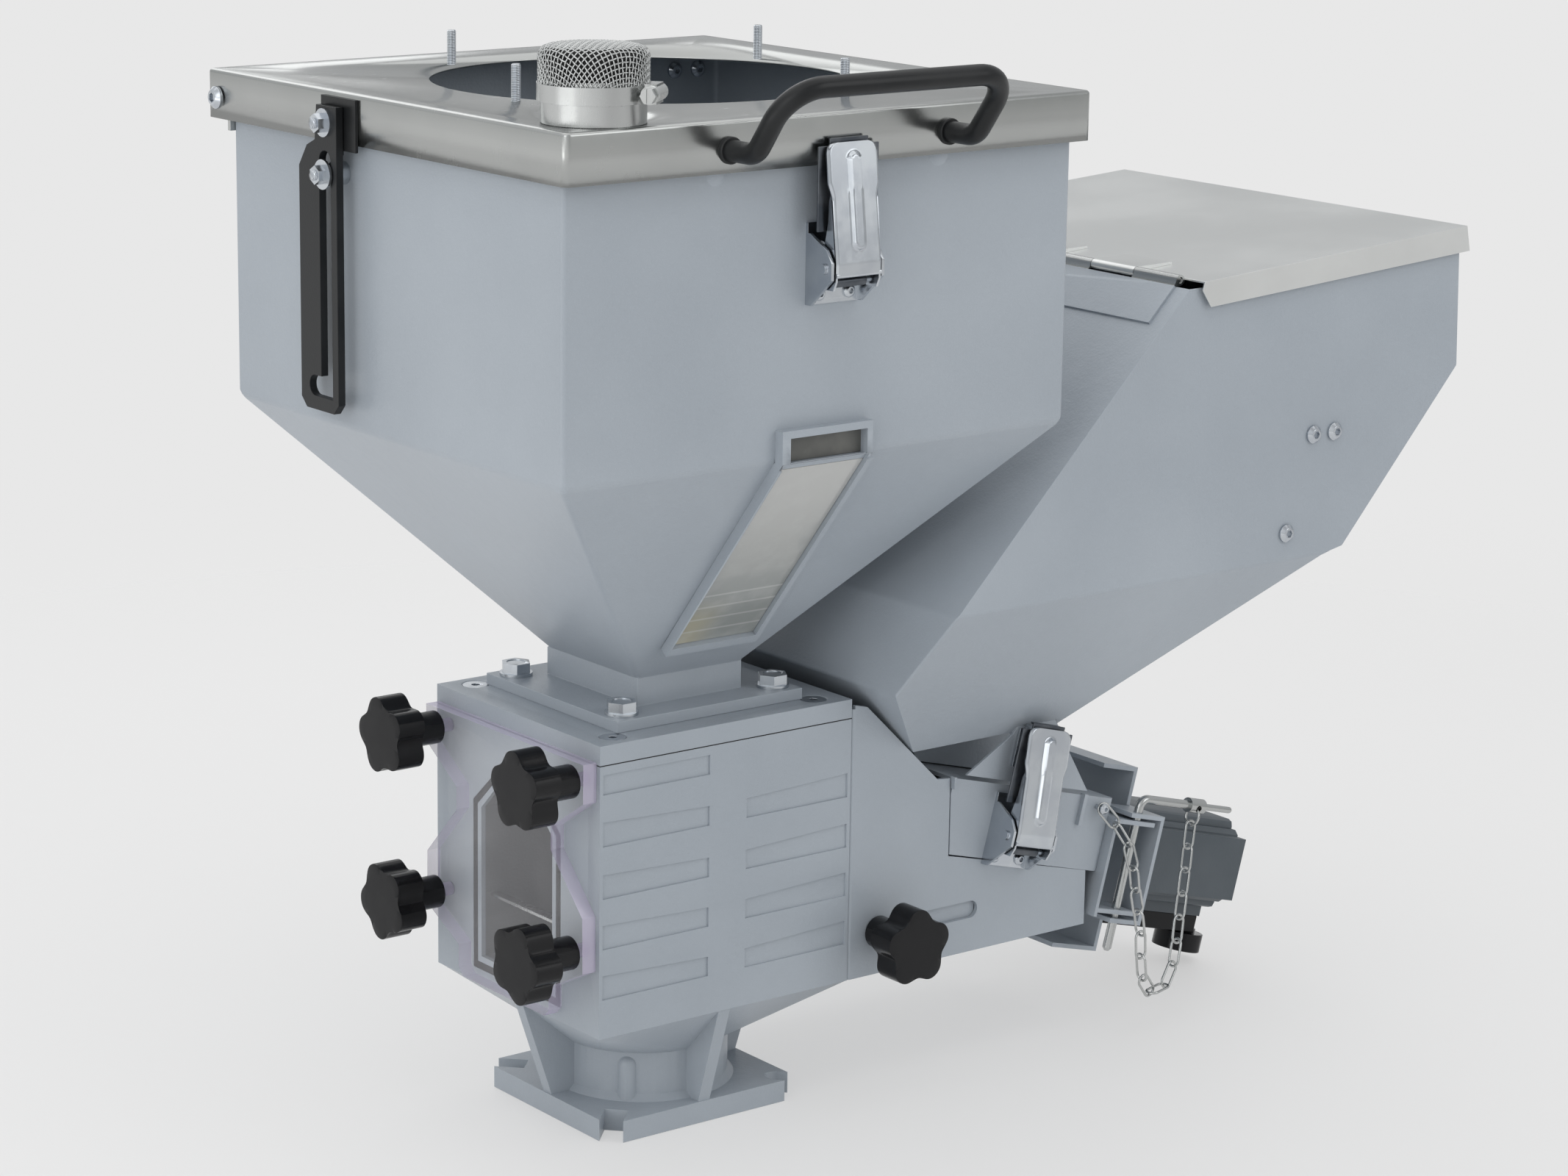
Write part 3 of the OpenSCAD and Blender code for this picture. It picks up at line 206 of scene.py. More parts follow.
def greyPowderCoat():
    coat = Finish("greyPowderCoat")
    look, walls = paintLook, chamberWalls
    place = coat.place()
    cloud = coat.between(coat.noise(place, 6, 3), 0.3, 0.7)
    spot = coat.between(coat.noise(place, 38, 3), 0.45, 0.75)
    colour = coat.blend(cloud, look["dull"], look["pale"])
    colour = coat.blend(spot * 0.35, colour, look["tone"])
    rise = coat.between(coat.noise(place, 1100, 1), 0.6, 0.78)
    colour = coat.blend(rise * 0.1, colour, look["fleck"])
    # painted shade: the chamber walls under the clear cover are painted dark, where shade falls
    # inside the chamber
    x, y, z = coat.along(0), coat.along(1), coat.along(2)
    side, rear = walls["half"], walls["back"]
    chamberShade = 1 - coat.between(y * y, (side - 0.0005) ** 2, (side + 0.0005) ** 2)
    chamberShade = chamberShade * coat.between(x, walls["front"] - 0.001, walls["front"] + 0.001)
    chamberShade = chamberShade * (1 - coat.between(x, rear - 0.0025, rear + 0.0025))
    chamberShade = chamberShade * coat.between(z, walls["floor"] - 0.00125, walls["floor"] + 0.00125)
    chamberShade = chamberShade * (1 - coat.between(z, walls["roof"] - 0.0025, walls["roof"] + 0.0025))
    colour = coat.blend(chamberShade, colour, look["chamber"])
    peel = coat.noise(place, 520, 2)
    grit = coat.noise(place, 1700, 2)
    wave = coat.relief(coat.noise(place, 90, 1), 0.05, 0.004)
    return coat.done({
        "Base Color": colour,
        "Roughness": look["gloss"] + cloud * 0.07 + peel * 0.05,
        "Specular IOR Level": look["sheen"],
        "Normal": coat.relief(grit, 0.16, 0.0004, coat.relief(peel, 0.2, 0.0008, wave)),
    })


sheetLooks = {
    "polishedStainless": {
        "pale": (0.45, 0.46, 0.45), "dull": (0.39, 0.40, 0.392), "shine": 0.15, "grain": 90,
        "stretch": (1, 7, 1)},
    "brushedStainless": {
        "pale": (0.56, 0.57, 0.565), "dull": (0.46, 0.47, 0.465), "shine": 0.18, "grain": 160,
        "stretch": (1, 12, 1)},
    "satinSheet": {
        "pale": (0.80, 0.81, 0.80), "dull": (0.71, 0.72, 0.71), "shine": 0.26, "grain": 160,
        "stretch": (1, 12, 1)},
}


def brightSheet(name):
    # stainless sheet: streaks along the rolling direction and soft clouds
    sheet = Finish(name)
    look = sheetLooks[name]
    place = sheet.place()
    streak = sheet.noise(sheet.place(look["stretch"]), look["grain"], 4, 0.6)
    cloud = sheet.between(sheet.noise(place, 9, 3), 0.35, 0.68)
    fine = sheet.noise(sheet.place(look["stretch"]), look["grain"] * 4, 2)
    scuff = sheet.between(sheet.noise(sheet.place((1, 6, 1), (0, 0, 0.5)), 70, 4), 0.62, 0.7)
    return sheet.done({
        "Base Color": sheet.blend(cloud * 0.7 + streak * 0.3, look["dull"], look["pale"]),
        "Metallic": 1.0,
        "Roughness": look["shine"] + streak * 0.09 + cloud * 0.05 + scuff * 0.04,
        "Normal": sheet.relief(streak, 0.05, 0.0004, sheet.relief(fine, 0.03, 0.0002)),
    })


zincLook = {"pale": (0.58, 0.61, 0.64), "dull": (0.52, 0.55, 0.59), "shine": 0.2}


def zincPlate():
    plate = Finish("zincPlate")
    place = plate.place()
    cloud = plate.between(plate.noise(place, 60, 3), 0.35, 0.65)
    grain = plate.noise(place, 1900, 2)
    return plate.done({
        "Base Color": plate.blend(cloud, zincLook["dull"], zincLook["pale"]),
        "Metallic": 1.0,
        "Roughness": zincLook["shine"] + cloud * 0.05 + grain * 0.03,
        "Normal": plate.relief(grain, 0.02, 0.0001),
    })


steelLook = {"deep": (0.010, 0.011, 0.012), "worn": (0.017, 0.018, 0.019), "shine": 0.3}


def blackSteel():
    steel = Finish("blackSteel")
    place = steel.place()
    cloud = steel.between(steel.noise(place, 30, 3), 0.35, 0.7)
    peel = steel.noise(place, 900, 2)
    return steel.done({
        "Base Color": steel.blend(cloud, steelLook["deep"], steelLook["worn"]),
        "Roughness": steelLook["shine"] + cloud * 0.1,
        "Specular IOR Level": 0.28,
        "Normal": steel.relief(peel, 0.1, 0.0004),
    })


resinLook = {
    "deep": (0.004, 0.004, 0.005), "cloud": (0.007, 0.007, 0.008), "face": (0.012, 0.012, 0.013),
    "shine": 0.14,
}


def blackPlastic():
    # moulded plastic: polished sides, finely eroded faces
    resin = Finish("blackPlastic")
    place = resin.place()
    grain = resin.noise(place, 3200, 2)
    cloud = resin.between(resin.noise(place, 70, 2), 0.3, 0.7)
    sideways = resin.facing(0) * resin.facing(0)
    front = resin.facing(1) * resin.facing(1)
    face = resin.between(resin.larger(sideways, front), 0.72, 0.9)
    colour = resin.blend(cloud, resinLook["deep"], resinLook["cloud"])
    return resin.done({
        "Base Color": resin.blend(face, colour, resinLook["face"]),
        "Specular IOR Level": 0.22,
        "Roughness": resinLook["shine"] + face * 0.3 + cloud * 0.05,
        "Normal": resin.relief(grain, 0.12, 0.0002),
    })


rubberLook = {"deep": (0.018, 0.018, 0.018), "bloom": (0.035, 0.035, 0.036), "shine": 0.6}


def blackRubber():
    rubber = Finish("blackRubber")
    place = rubber.place()
    grain = rubber.noise(place, 1800, 3)
    bloom = rubber.between(rubber.noise(place, 45, 3), 0.45, 0.75)
    return rubber.done({
        "Base Color": rubber.blend(bloom, rubberLook["deep"], rubberLook["bloom"]),
        "Roughness": rubberLook["shine"] + bloom * 0.15,
        "Specular IOR Level": 0.3,
        "Normal": rubber.relief(grain, 0.2, 0.0003),
    })


coverLook = {
    "haze": (0.82, 0.82, 0.86), "edge": (0.62, 0.56, 0.74), "thin": 0.03, "edgeDepth": 0.45,
    "rimDepth": 0.22,
}


def clearAcrylic():
    # see-through sheet with a violet cast on its sawn edges
    sheet = Finish("clearAcrylic")
    across = sheet.facing(0)
    edge = 1 - sheet.between(across * across, 0.2, 0.6)
    haze = sheet.between(sheet.noise(sheet.place(), 26, 3), 0.4, 0.8)
    rim = sheet.make("ShaderNodeLayerWeight", {}, {"Blend": 0.25}, 1)
    return sheet.done({
        "Base Color": sheet.blend(edge, coverLook["haze"], coverLook["edge"]),
        "Roughness": 0.03 + haze * 0.04 + edge * 0.12,
        "Specular IOR Level": 1.0,
        "Alpha": (coverLook["thin"] + haze * 0.03 + edge * coverLook["edgeDepth"]
                  + rim * coverLook["rimDepth"]),
    })


windowLook = {
    "top": (0.44, 0.445, 0.435), "low": (0.25, 0.265, 0.255), "stain": (0.40, 0.375, 0.27),
    "dust": (0.55, 0.555, 0.55), "scratch": (0.6, 0.6, 0.59), "scratchStep": 0.0045,
    # heights and the place across, in metres
    "fall": (0.32, 0.44), "scratchEnd": (0.352, 0.36), "stainEnd": (0.328, 0.352),
    "stainSide": (-0.028, 0.0),
}


def sightGlass():
    # clear pane over the sheet opening, milky from granule dust, darker towards its lower end
    pane = Finish("sightGlass")
    place = pane.place()
    look = windowLook
    height = pane.along(2)
    fall = 1 - pane.between(height, *look["fall"])
    dust = pane.between(pane.noise(place, 55, 4), 0.4, 0.75)
    lines = pane.make("ShaderNodeMath", {"operation": "PINGPONG"},
                      {0: height, 1: look["scratchStep"]})
    line = 1 - pane.between(lines, 0.0004, 0.0009)
    line = line * (1 - pane.between(height, *look["scratchEnd"]))
    stain = 1 - pane.between(height, *look["stainEnd"])
    stain = stain * (1 - pane.between(pane.along(0), *look["stainSide"]))
    colour = pane.blend(fall, look["top"], look["low"])
    colour = pane.blend(stain * 0.8, colour, look["stain"])
    colour = pane.blend(dust * 0.18, colour, look["dust"])
    colour = pane.blend(line * 0.3, colour, look["scratch"])
    return pane.done({
        "Base Color": colour,
        "Roughness": 0.12 + dust * 0.12,
        "Coat Weight": 0.5,
    })


enamelLook = {"deep": (0.064, 0.08, 0.094), "pale": (0.08, 0.096, 0.11), "shine": 0.36}


def motorEnamel():
    enamel = Finish("motorEnamel")
    place = enamel.place()
    peel = enamel.noise(place, 700, 2)
    cloud = enamel.between(enamel.noise(place, 24, 3), 0.35, 0.7)
    return enamel.done({
        "Base Color": enamel.blend(cloud, enamelLook["deep"], enamelLook["pale"]),
        "Roughness": enamelLook["shine"] + cloud * 0.1,
        "Normal": enamel.relief(peel, 0.16, 0.0006),
    })


metalLooks = {
    "bearingBronze": {
        "pale": (0.62, 0.42, 0.18), "dull": (0.46, 0.29, 0.12), "shine": 0.25, "cloud": 80},
    "couplingMetal": {
        "pale": (0.62, 0.63, 0.64), "dull": (0.48, 0.49, 0.5), "shine": 0.24, "cloud": 60},
}


def plainMetal(name):
    metal = Finish(name)
    look = metalLooks[name]
    place = metal.place()
    cloud = metal.between(metal.noise(place, look["cloud"], 4), 0.35, 0.7)
    turn = metal.noise(metal.place((12, 1, 1)), 240, 2)
    return metal.done({
        "Base Color": metal.blend(cloud, look["dull"], look["pale"]),
        "Metallic": 1.0,
        "Roughness": look["shine"] + cloud * 0.12 + turn * 0.06,
        "Normal": metal.relief(turn, 0.06, 0.0002),
    })


finishes = {
    "grey_paint": greyPowderCoat(),
    "polished_stainless": brightSheet("polishedStainless"),
    "brushed_stainless": brightSheet("brushedStainless"),
    "zinc_plate": zincPlate(),
    "black_steel": blackSteel(),
    "black_plastic": blackPlastic(),
    "black_rubber": blackRubber(),
    "clear_acrylic": clearAcrylic(),
    "sight_glass": sightGlass(),
    "motor_grey": motorEnamel(),
    "bearing_bronze": plainMetal("bearingBronze"),
    "coupling_metal": plainMetal("couplingMetal"),
}
satinSheet = brightSheet("satinSheet")  # the side hopper's lid
for name, node in nodes.items():
    node.data.materials.clear()
    node.data.materials.append(finishes[slotOf[name]])
print("finishes made:", len(finishes))


def pieceFrom(form, name, node, replaced=True, sharp=32, finish=None, slot=None, span=None):
    # a finished piece that rides with a node's body, and stands for the node if replaced is true;
    # span, when given, leaves the piece with no body and its place baked in; the two bodies and
    # two points in it are not used
    mesh = bpy.data.meshes.new(name)
    form.to_mesh(mesh)
    form.free()
    for face in mesh.polygons:
        face.use_smooth = True
    mesh.set_sharp_from_angle(angle=math.radians(sharp))
    mesh.materials.append(finish or finishes[slot or slotOf[node]])
    piece = bpy.data.objects.new(name, mesh)
    scene.collection.objects.link(piece)
    if span:
        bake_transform(piece)
    else:
        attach(piece, nodes[node]["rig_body"])
    if replaced:
        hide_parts(node)
    return piece


def wrap(form, near, far):
    # a closed band of faces between two rings of the same length
    count = len(near)
    for k in range(count):
        form.faces.new((near[k], near[(k + 1) % count], far[(k + 1) % count], far[k]))


def tube(form, rows):
    # bands through all the rings, with a cap at each end
    for near, far in zip(rows, rows[1:]):
        wrap(form, near, far)
    form.faces.new(rows[0][::-1])
    form.faces.new(rows[-1])


def slab(outline, levels):
    # flat plate of one outline between two planes across Y, in millimetres
    form = bmesh.new()
    near, far = [[form.verts.new((v.x, y * mm, v.z)) for v in outline] for y in levels]
    form.faces.new(near)
    form.faces.new(far[::-1])
    wrap(form, near, far)
    bmesh.ops.recalc_face_normals(form, faces=form.faces)
    return form


sameSpot = 2e-6  # corners closer than this are one corner
flatAngle = math.radians(0.6)
folded = {"segments": 4, "sharp": 40, "angle": 26}


def cadForm(node):
    # the node's own shape with shared corners and whole flat faces
    form = bmesh.new()
    form.from_mesh(nodes[node].data)
    bmesh.ops.remove_doubles(form, verts=form.verts, dist=sameSpot)
    bmesh.ops.dissolve_limit(form, angle_limit=flatAngle, verts=form.verts, edges=form.edges)
    return form


def roundOver(node, width, folds=None, foldWidth=0, finish=None):
    # the node with its edges rounded; folds picks the bent sheet edges that get foldWidth
    form = cadForm(node)
    weight = form.edges.layers.float.new("bevel_weight_edge")
    broad = max(width, foldWidth)
    for edge in form.edges:
        if len(edge.link_faces) == 2 and edge.calc_face_angle(0) > math.radians(folded["angle"]):
            edge[weight] = 1 if folds and folds(edge) else width / broad
    piece = pieceFrom(form, node + "_finished", node, sharp=folded["sharp"], finish=finish)
    bevel = piece.modifiers.new("softEdge", "BEVEL")
    bevel.width = broad * mm
    bevel.segments = folded["segments"] if folds else 2
    bevel.limit_method = "WEIGHT"
    bevel.use_clamp_overlap = not folds
    bevel.harden_normals = True


def sweep(form, path, radius, sides, capped=True):
    # a round bar along the points of path, in metres
    rings = []
    side = None
    for i, point in enumerate(path):
        ahead = path[min(i + 1, len(path) - 1)]
        behind = path[max(i - 1, 0)]
        run = (Vector(ahead) - Vector(behind)).normalized()
        if side is None:
            side = run.orthogonal().normalized()
        side = (side - run * side.dot(run)).normalized()
        up = run.cross(side)
        thick = radius[i] if isinstance(radius, list) else radius
        spokes = [side * math.cos(a) + up * math.sin(a)
                  for a in (2 * math.pi * k / sides for k in range(sides))]
        rings.append([form.verts.new(Vector(point) + spoke * thick) for spoke in spokes])
    for near, far in zip(rings, rings[1:]):
        wrap(form, near, far)
    if capped:
        form.faces.new(rings[0][::-1])
        form.faces.new(rings[-1])


def lathe(form, where, rings, sides, shape=None):
    # rings of (height, radius, share) round the local Z axis; share says how far the radius
    # follows shape, which gives a radius for each angle
    rows = []
    for height, radius, share in rings:
        row = []
        for k in range(sides):
            a = 2 * math.pi * k / sides
            r = radius + (shape(a) - radius) * share if shape else radius
            spot = Vector((r * math.cos(a) * mm, r * math.sin(a) * mm, height * mm))
            row.append(form.verts.new(where @ spot))
        rows.append(row)
    tube(form, rows)


def rounded(corners, radii, steps):
    # corners in millimetres joined by straight runs and round bends; gives points in metres
    points = []
    for i, corner in enumerate(corners):
        here = Vector(corner)
        radius = radii[i]
        if not radius:
            points.append(here * mm)
            continue
        before = (Vector(corners[i - 1]) - here).normalized()
        after = (Vector(corners[(i + 1) % len(corners)]) - here).normalized()
        half = before.angle(after) / 2
        reach = radius / math.tan(half)
        middle = here + (before + after).normalized() * (radius / math.sin(half))
        start = here + before * reach - middle
        end = here + after * reach - middle
        turn = start.angle(end)
        for k in range(steps + 1):
            share = k / steps
            spoke = start * math.sin((1 - share) * turn) + end * math.sin(share * turn)
            points.append((middle + spoke / math.sin(turn)) * mm)
    return points


threadSides, threadSteps = 20, 6  # points round the thread, rings for each turn
leadLength, leadSlope = 0.8, 0.6  # the thread runs out at its tip


def threadForm(form, base, axis, length, crest, root, pitch):
    # screw thread: radius follows a helix between root and crest, with a small lead at the tip
    axis = Vector(axis)
    side = axis.orthogonal().normalized()
    up = axis.cross(side)
    rows = []
    sides = threadSides
    count = int(length / pitch * threadSteps)
    for i in range(count + 1):
        z = length * i / count
        tip = max(0, z - length + leadLength)
        row = []
        for k in range(sides):
            a = 2 * math.pi * k / sides
            turn = (z / pitch - k / sides) % 1
            r = root + (crest - root) * (1 - abs(2 * turn - 1)) - tip * leadSlope
            spoke = (side * math.cos(a) + up * math.sin(a)) * r
            row.append(form.verts.new(Vector(base) * mm + (axis * z + spoke) * mm))
        rows.append(row)
    tube(form, rows)


knobLook = {"lobes": 5, "outer": 25.0, "valley": 18.8, "hub": 10.5, "length": 42.0, "head": 19.5,
            "sides": 110}
knobPlaces = {  # node: seat, direction, turn of the star
    "knob_back_high": ((-107.1, 74, 242), (-1, 0, 0), 0.25),
    "knob_front_high": ((-107.1, -74, 242), (-1, 0, 0), 0.1),
    "knob_back_low": ((-107.1, 74, 134), (-1, 0, 0), 0.5),
    "knob_front_low": ((-107.1, -74, 134), (-1, 0, 0), 0.9),
    "console_knob": ((120.5, -89.4, 108.5), (0, -1, 0), 0.3),
}


def knobShape(turn):
    middle = (knobLook["outer"] + knobLook["valley"]) / 2
    swing = (knobLook["outer"] - knobLook["valley"]) / 2

    def shape(a):
        wave = math.cos(knobLook["lobes"] * (a - turn))
        return middle + swing * (wave + 0.25 * (1 - wave * wave))
    return shape


def starKnob(node, seat, toward, turn):
    form = bmesh.new()
    spin = Vector((0, 0, 1)).rotation_difference(Vector(toward)).to_matrix().to_4x4()
    where = Matrix.Translation(Vector(seat) * mm) @ spin
    full, under = knobLook["length"], knobLook["length"] - knobLook["head"]
    hub, outer = knobLook["hub"], knobLook["outer"]
    lathe(form, where, [
        (0, hub - 0.8, 0), (0.3, hub - 0.2, 0), (0.9, hub, 0), (under - 2, hub, 0),
        (under - 0.8, hub + 0.3, 0), (under, hub + 1.2, 0), (under + 0.05, 13.5, 0),
        (under + 0.1, 15.8, 0.1), (under + 0.4, outer - 1, 0.93), (under + 1.2, outer, 0.98),
        (under + 2.4, outer, 1), (full - 3.6, outer, 0.985), (full - 2.0, outer, 0.965),
        (full - 1.1, outer - 0.4, 0.93), (full - 0.6, outer - 1, 0.86),
        (full - 0.35, outer - 3, 0.7), (full - 0.18, 15, 0.3), (full - 0.05, 9, 0), (full, 3, 0),
    ], knobLook["sides"], knobShape(turn))
    pieceFrom(form, node + "_star", node, sharp=50)


for node, place in knobPlaces.items():
    starKnob(node, *place)
print("star knobs made")

handleLook = {
    "half": 80, "start": -187.6, "legs": 632, "elbow": -212, "bar": (-241.5, 671.1), "tube": 6.25,
    "bend": 13, "corner": 23.5, "foot": ((0, 7.85), (2.4, 7.85), (3, 7.3)), "sides": 28,
}


def lidHandle():
    look = handleLook
    half, start, legs, elbow = look["half"], look["start"], look["legs"], look["elbow"]
    corners = [(-half, start, legs), (-half, elbow, legs), (-half, *look["bar"]),
               (half, *look["bar"]), (half, elbow, legs), (half, start, legs)]
    form = bmesh.new()
    bends = [0, look["bend"], look["corner"], look["corner"], look["bend"], 0]
    sweep(form, rounded(corners, bends, 12), look["tube"] * mm, look["sides"])
    for s in (-1, 1):
        foot = [Vector((s * half, start - out, legs)) * mm for out, radius in look["foot"]]
        sweep(form, foot, [radius * mm for out, radius in look["foot"]], look["sides"])
    pieceFrom(form, "lid_handle_tube", "lid_handle")


lidHandle()
print("lid handle made")

studLook = {"circle": 140, "centre": 5.7, "base": 649, "height": 21.5, "first": 22.5, "count": 4,
            "crest": 3.0, "root": 2.5, "pitch": 1.0}
boltLook = {
    "seat": (-206.6, 49), "length": 2.4, "crest": 3.25, "root": 2.98, "pitch": 1.0,
    "ends": (("stay_bolt_thread", "stay_bolts", 631),
             ("stay_guide_thread", "stay_guide_bolt", 600.4)),
}


def lidStuds():
    look = studLook
    form = bmesh.new()
    for k in range(look["count"]):
        a = math.radians(look["first"] + 360 / look["count"] * k)
        x, y = look["circle"] * math.cos(a), look["centre"] + look["circle"] * math.sin(a)
        threadForm(form, (x, y, look["base"]), (0, 0, 1), look["height"], look["crest"],
                   look["root"], look["pitch"])
    pieceFrom(form, "lid_studs_threaded", "lid_studs", sharp=70)


def boltThreads():
    # thread that shows beyond the nuts of the lid stay
    look = boltLook
    for name, node, z in look["ends"]:
        form = bmesh.new()
        threadForm(form, (*look["seat"], z), (-1, 0, 0), look["length"], look["crest"],
                   look["root"], look["pitch"])
        pieceFrom(form, name, node, replaced=False, sharp=70)


lidStuds()
boltThreads()
print("threads made")

ventLook = {
    "centre": (-150, -155), "foot": 661.5, "flat": 25.0, "corner": 5.6, "top": 691.6, "crown": 0.9,
    "pitch": 2.9, "wire": 0.5, "weave": 0.45,
    # mat rings behind the cloth: depth under the top, radius
    "mat": ((6, 29.2), (3, 28.2), (1.4, 25.6), (0.9, 22), (0.5, 12), (0.3, 3)),
}


def drape(s, t):
    # a point of the flat cloth pressed over the spigot
    look = ventLook
    reach = math.hypot(s, t)
    a = math.atan2(t, s)
    bend = look["corner"] * math.pi / 2
    if reach < look["flat"]:
        r, z = reach, look["top"] + look["crown"] * (1 - (reach / look["flat"]) ** 2)
    elif reach < look["flat"] + bend:
        turn = (reach - look["flat"]) / look["corner"]
        r = look["flat"] + look["corner"] * math.sin(turn)
        z = look["top"] - look["corner"] * (1 - math.cos(turn))
    else:
        r = look["flat"] + look["corner"]
        z = look["top"] - look["corner"] - (reach - look["flat"] - bend)
    x, y = look["centre"]
    return Vector((x + r * math.cos(a), y + r * math.sin(a), z)), reach


def ventCap():
    look = ventLook
    form = bmesh.new()
    x, y = look["centre"]
    skirt = look["top"] - look["corner"] - look["foot"]
    total = look["flat"] + look["corner"] * math.pi / 2 + skirt
    lines = int(total / look["pitch"])
    for family in (0, 1):
        for k in range(-lines, lines + 1):
            offset = k * look["pitch"]
            half = math.sqrt(max(0, total * total - offset * offset))
            count = max(4, int(half * 2 / (look["pitch"] / 2)))
            path = []
            for i in range(count + 1):
                run = -half + 2 * half * i / count
                s, t = (run, offset) if family == 0 else (offset, run)
                spot, reach = drape(s, t)
                # over and under weave, along the surface's own outward side
                lift = math.sin(math.pi * (run / look["pitch"] + k + 0.5 + family)) * look["weave"]
                out = Vector((spot.x - x, spot.y - y, 0))
                if reach < look["flat"] or out.length < 1:
                    out = Vector((0, 0, 1))
                else:
                    out.normalize()
                path.append((spot + out * lift) * mm)
            sweep(form, path, look["wire"] * mm, 5, capped=False)
    pieceFrom(form, "vent_cap_cloth", "vent_cap", sharp=80)
    mat = bmesh.new()  # dark filter mat behind the cloth
    rings = [(look["foot"], look["mat"][0][1], 0)]
    rings += [(look["top"] - depth, radius, 0) for depth, radius in look["mat"]]
    lathe(mat, Matrix.Translation((x * mm, y * mm, 0)), rings, 64)
    pieceFrom(mat, "vent_filter_mat", "vent_cap", replaced=False, slot="black_rubber")


ventCap()

wormLook = {
    "centre": (-150, -155, 666.4), "turn": -50, "out": 35.2, "sides": 28,
    "ribs": 9, "ribStep": 2.25, "crest": 5.0, "root": 4.2, "rise": (-0.8, 0.3, 0.6, 1.1),
    "screw": ((8.6, 3.0), (12.6, 3.0), (12.7, 5.2), (13.6, 5.2)),
    # cut thread of the band: count, first angle, step, lean, half height, radius, wire
    "cuts": 16, "cutFirst": 13, "cutStep": 4.6, "cutLean": 0.05, "cutHalf": 3.4, "band": 32.2,
    "cutWire": 0.5,
}


def clampWorm():
    # ribbed worm housing of the hose clamp, with the band's cut thread beside it
    look = wormLook
    form = bmesh.new()
    place = Matrix.Translation(Vector(look["centre"]) * mm)
    place = place @ Matrix.Rotation(math.radians(look["turn"]), 4, "Z")
    barrel = place @ Matrix.Translation((look["out"] * mm, 0, 0))
    barrel = barrel @ Matrix.Rotation(math.radians(90), 4, "X")
    rings = []
    for k in range(look["ribs"]):
        y = look["ribStep"] * (k - (look["ribs"] - 1) / 2)
        radii = (look["crest"], look["crest"], look["root"], look["root"])
        rings += [(y + rise, radius, 0) for rise, radius in zip(look["rise"], radii)]
    lathe(form, barrel, rings, look["sides"])
    lathe(form, barrel, [(height, radius, 0) for height, radius in look["screw"]], look["sides"])
    for k in range(look["cuts"]):
        a = math.radians(look["cutFirst"] + look["cutStep"] * k)
        ends = [Vector((math.cos(turn) * look["band"], math.sin(turn) * look["band"], z)) * mm
                for turn, z in ((a, -look["cutHalf"]), (a + look["cutLean"], look["cutHalf"]))]
        sweep(form, [place @ end for end in ends], look["cutWire"] * mm, 6)
    pieceFrom(form, "vent_clamp_worm", "vent_clamp", replaced=False, sharp=40)


clampWorm()
print("vent cap made")

lidLook = {
    "half": 192, "front": -187.6, "back": 199, "foot": 619, "top": 649, "fold": 2.3, "shoulder": 8,
    "corner": 4.2, "sheet": 1.5, "arcSteps": 6,
    "holes": (((0, 5.7, 129.5), 128), ((-150, -155, 27), 48)),  # x, y, radius; sides
}


def lidOutline(inset):
    look = lidLook
    radius = look["corner"] - inset
    points = []
    for cx, cy, start in ((1, 1, 0), (-1, 1, 90), (-1, -1, 180), (1, -1, 270)):
        x = cx * (look["half"] - look["corner"])
        y = look["back"] - look["corner"] if cy > 0 else look["front"] + look["corner"]
        for k in range(look["arcSteps"] + 1):
            a = math.radians(start + 90 / look["arcSteps"] * k)
            points.append((x + radius * math.cos(a), y + radius * math.sin(a)))
    return points


def foldedLid():
    look = lidLook
    form = bmesh.new()
    top, fold = look["top"], look["fold"]
    levels = [(look["foot"], 0), (top - fold - look["shoulder"], 0)]
    for k in range(look["arcSteps"] + 1):
        a = math.radians(90 / look["arcSteps"] * k)
        levels.append((top - fold * (1 - math.sin(a)), fold * (1 - math.cos(a))))
    rows = [[form.verts.new(Vector((x, y, z)) * mm) for x, y in lidOutline(inset)]
            for z, inset in levels]
    for near, far in zip(rows, rows[1:]):
        wrap(form, near, far)
    last = rows[-1]
    loops = [form.edges.get((last[k], last[(k + 1) % len(last)])) for k in range(len(last))]
    for (x, y, r), sides in look["holes"]:
        ring = [form.verts.new(Vector((x + r * math.cos(a), y + r * math.sin(a), top)) * mm)
                for a in (2 * math.pi * k / sides for k in range(sides))]
        loops += [form.edges.new((ring[k], ring[(k + 1) % sides])) for k in range(sides)]
    bmesh.ops.triangle_fill(form, use_beauty=True, use_dissolve=False, edges=loops)
    bmesh.ops.recalc_face_normals(form, faces=form.faces)
    lid = pieceFrom(form, "hopper_lid_folded", "hopper_lid", sharp=30)
    wall = lid.modifiers.new("sheet", "SOLIDIFY")
    wall.thickness = look["sheet"] * mm
    wall.offset = -1


foldedLid()
print("lid folded")

latchLook = {
    "plate": 1.5, "head": 18.6, "body": 16.5, "neck": (63, 73), "tip": 95, "foot": 19.5,
    "round": 6.5, "footRound": 1.5, "front": -25.6, "kink": 26, "lean": 8.4 / 68,
    "rib": (38, 85), "ribWidth": 5.0, "ribHeight": 2.6, "ribSlope": 1.8,
    "lip": 1.1, "lipWidth": 1.6, "grid": (44, 96),
    "cheek": ((-22, 10.5), (-24.4, 16), (-24.4, 27), (-20.4, 62), (-18.6, 66), (-17, 62),
              (-16.6, 50), (-13, 33), (-11.5, 22), (-11.3, 13), (-13, 10.5)),  # y, z
    "cheekSheet": 1.4, "pinHalf": 16.4,
    "pins": ((-17, 23, 1.9), (-14, 14, 1.75), (-23.7, 19.6, 1.7)),  # y, z, radius
}
latchPlaces = {
    "lid": Matrix.Translation((0.0035, -0.177, 0.537)),
    "feeder": Matrix.Translation((0.0965, 0, 0.150)) @ Matrix.Rotation(math.radians(15), 4, "Y")
    @ Matrix.Translation((0.1285, -0.089, 0.017)),
}


def ease(value):
    value = min(1, max(0, value))
    return value * value * (3 - 2 * value)


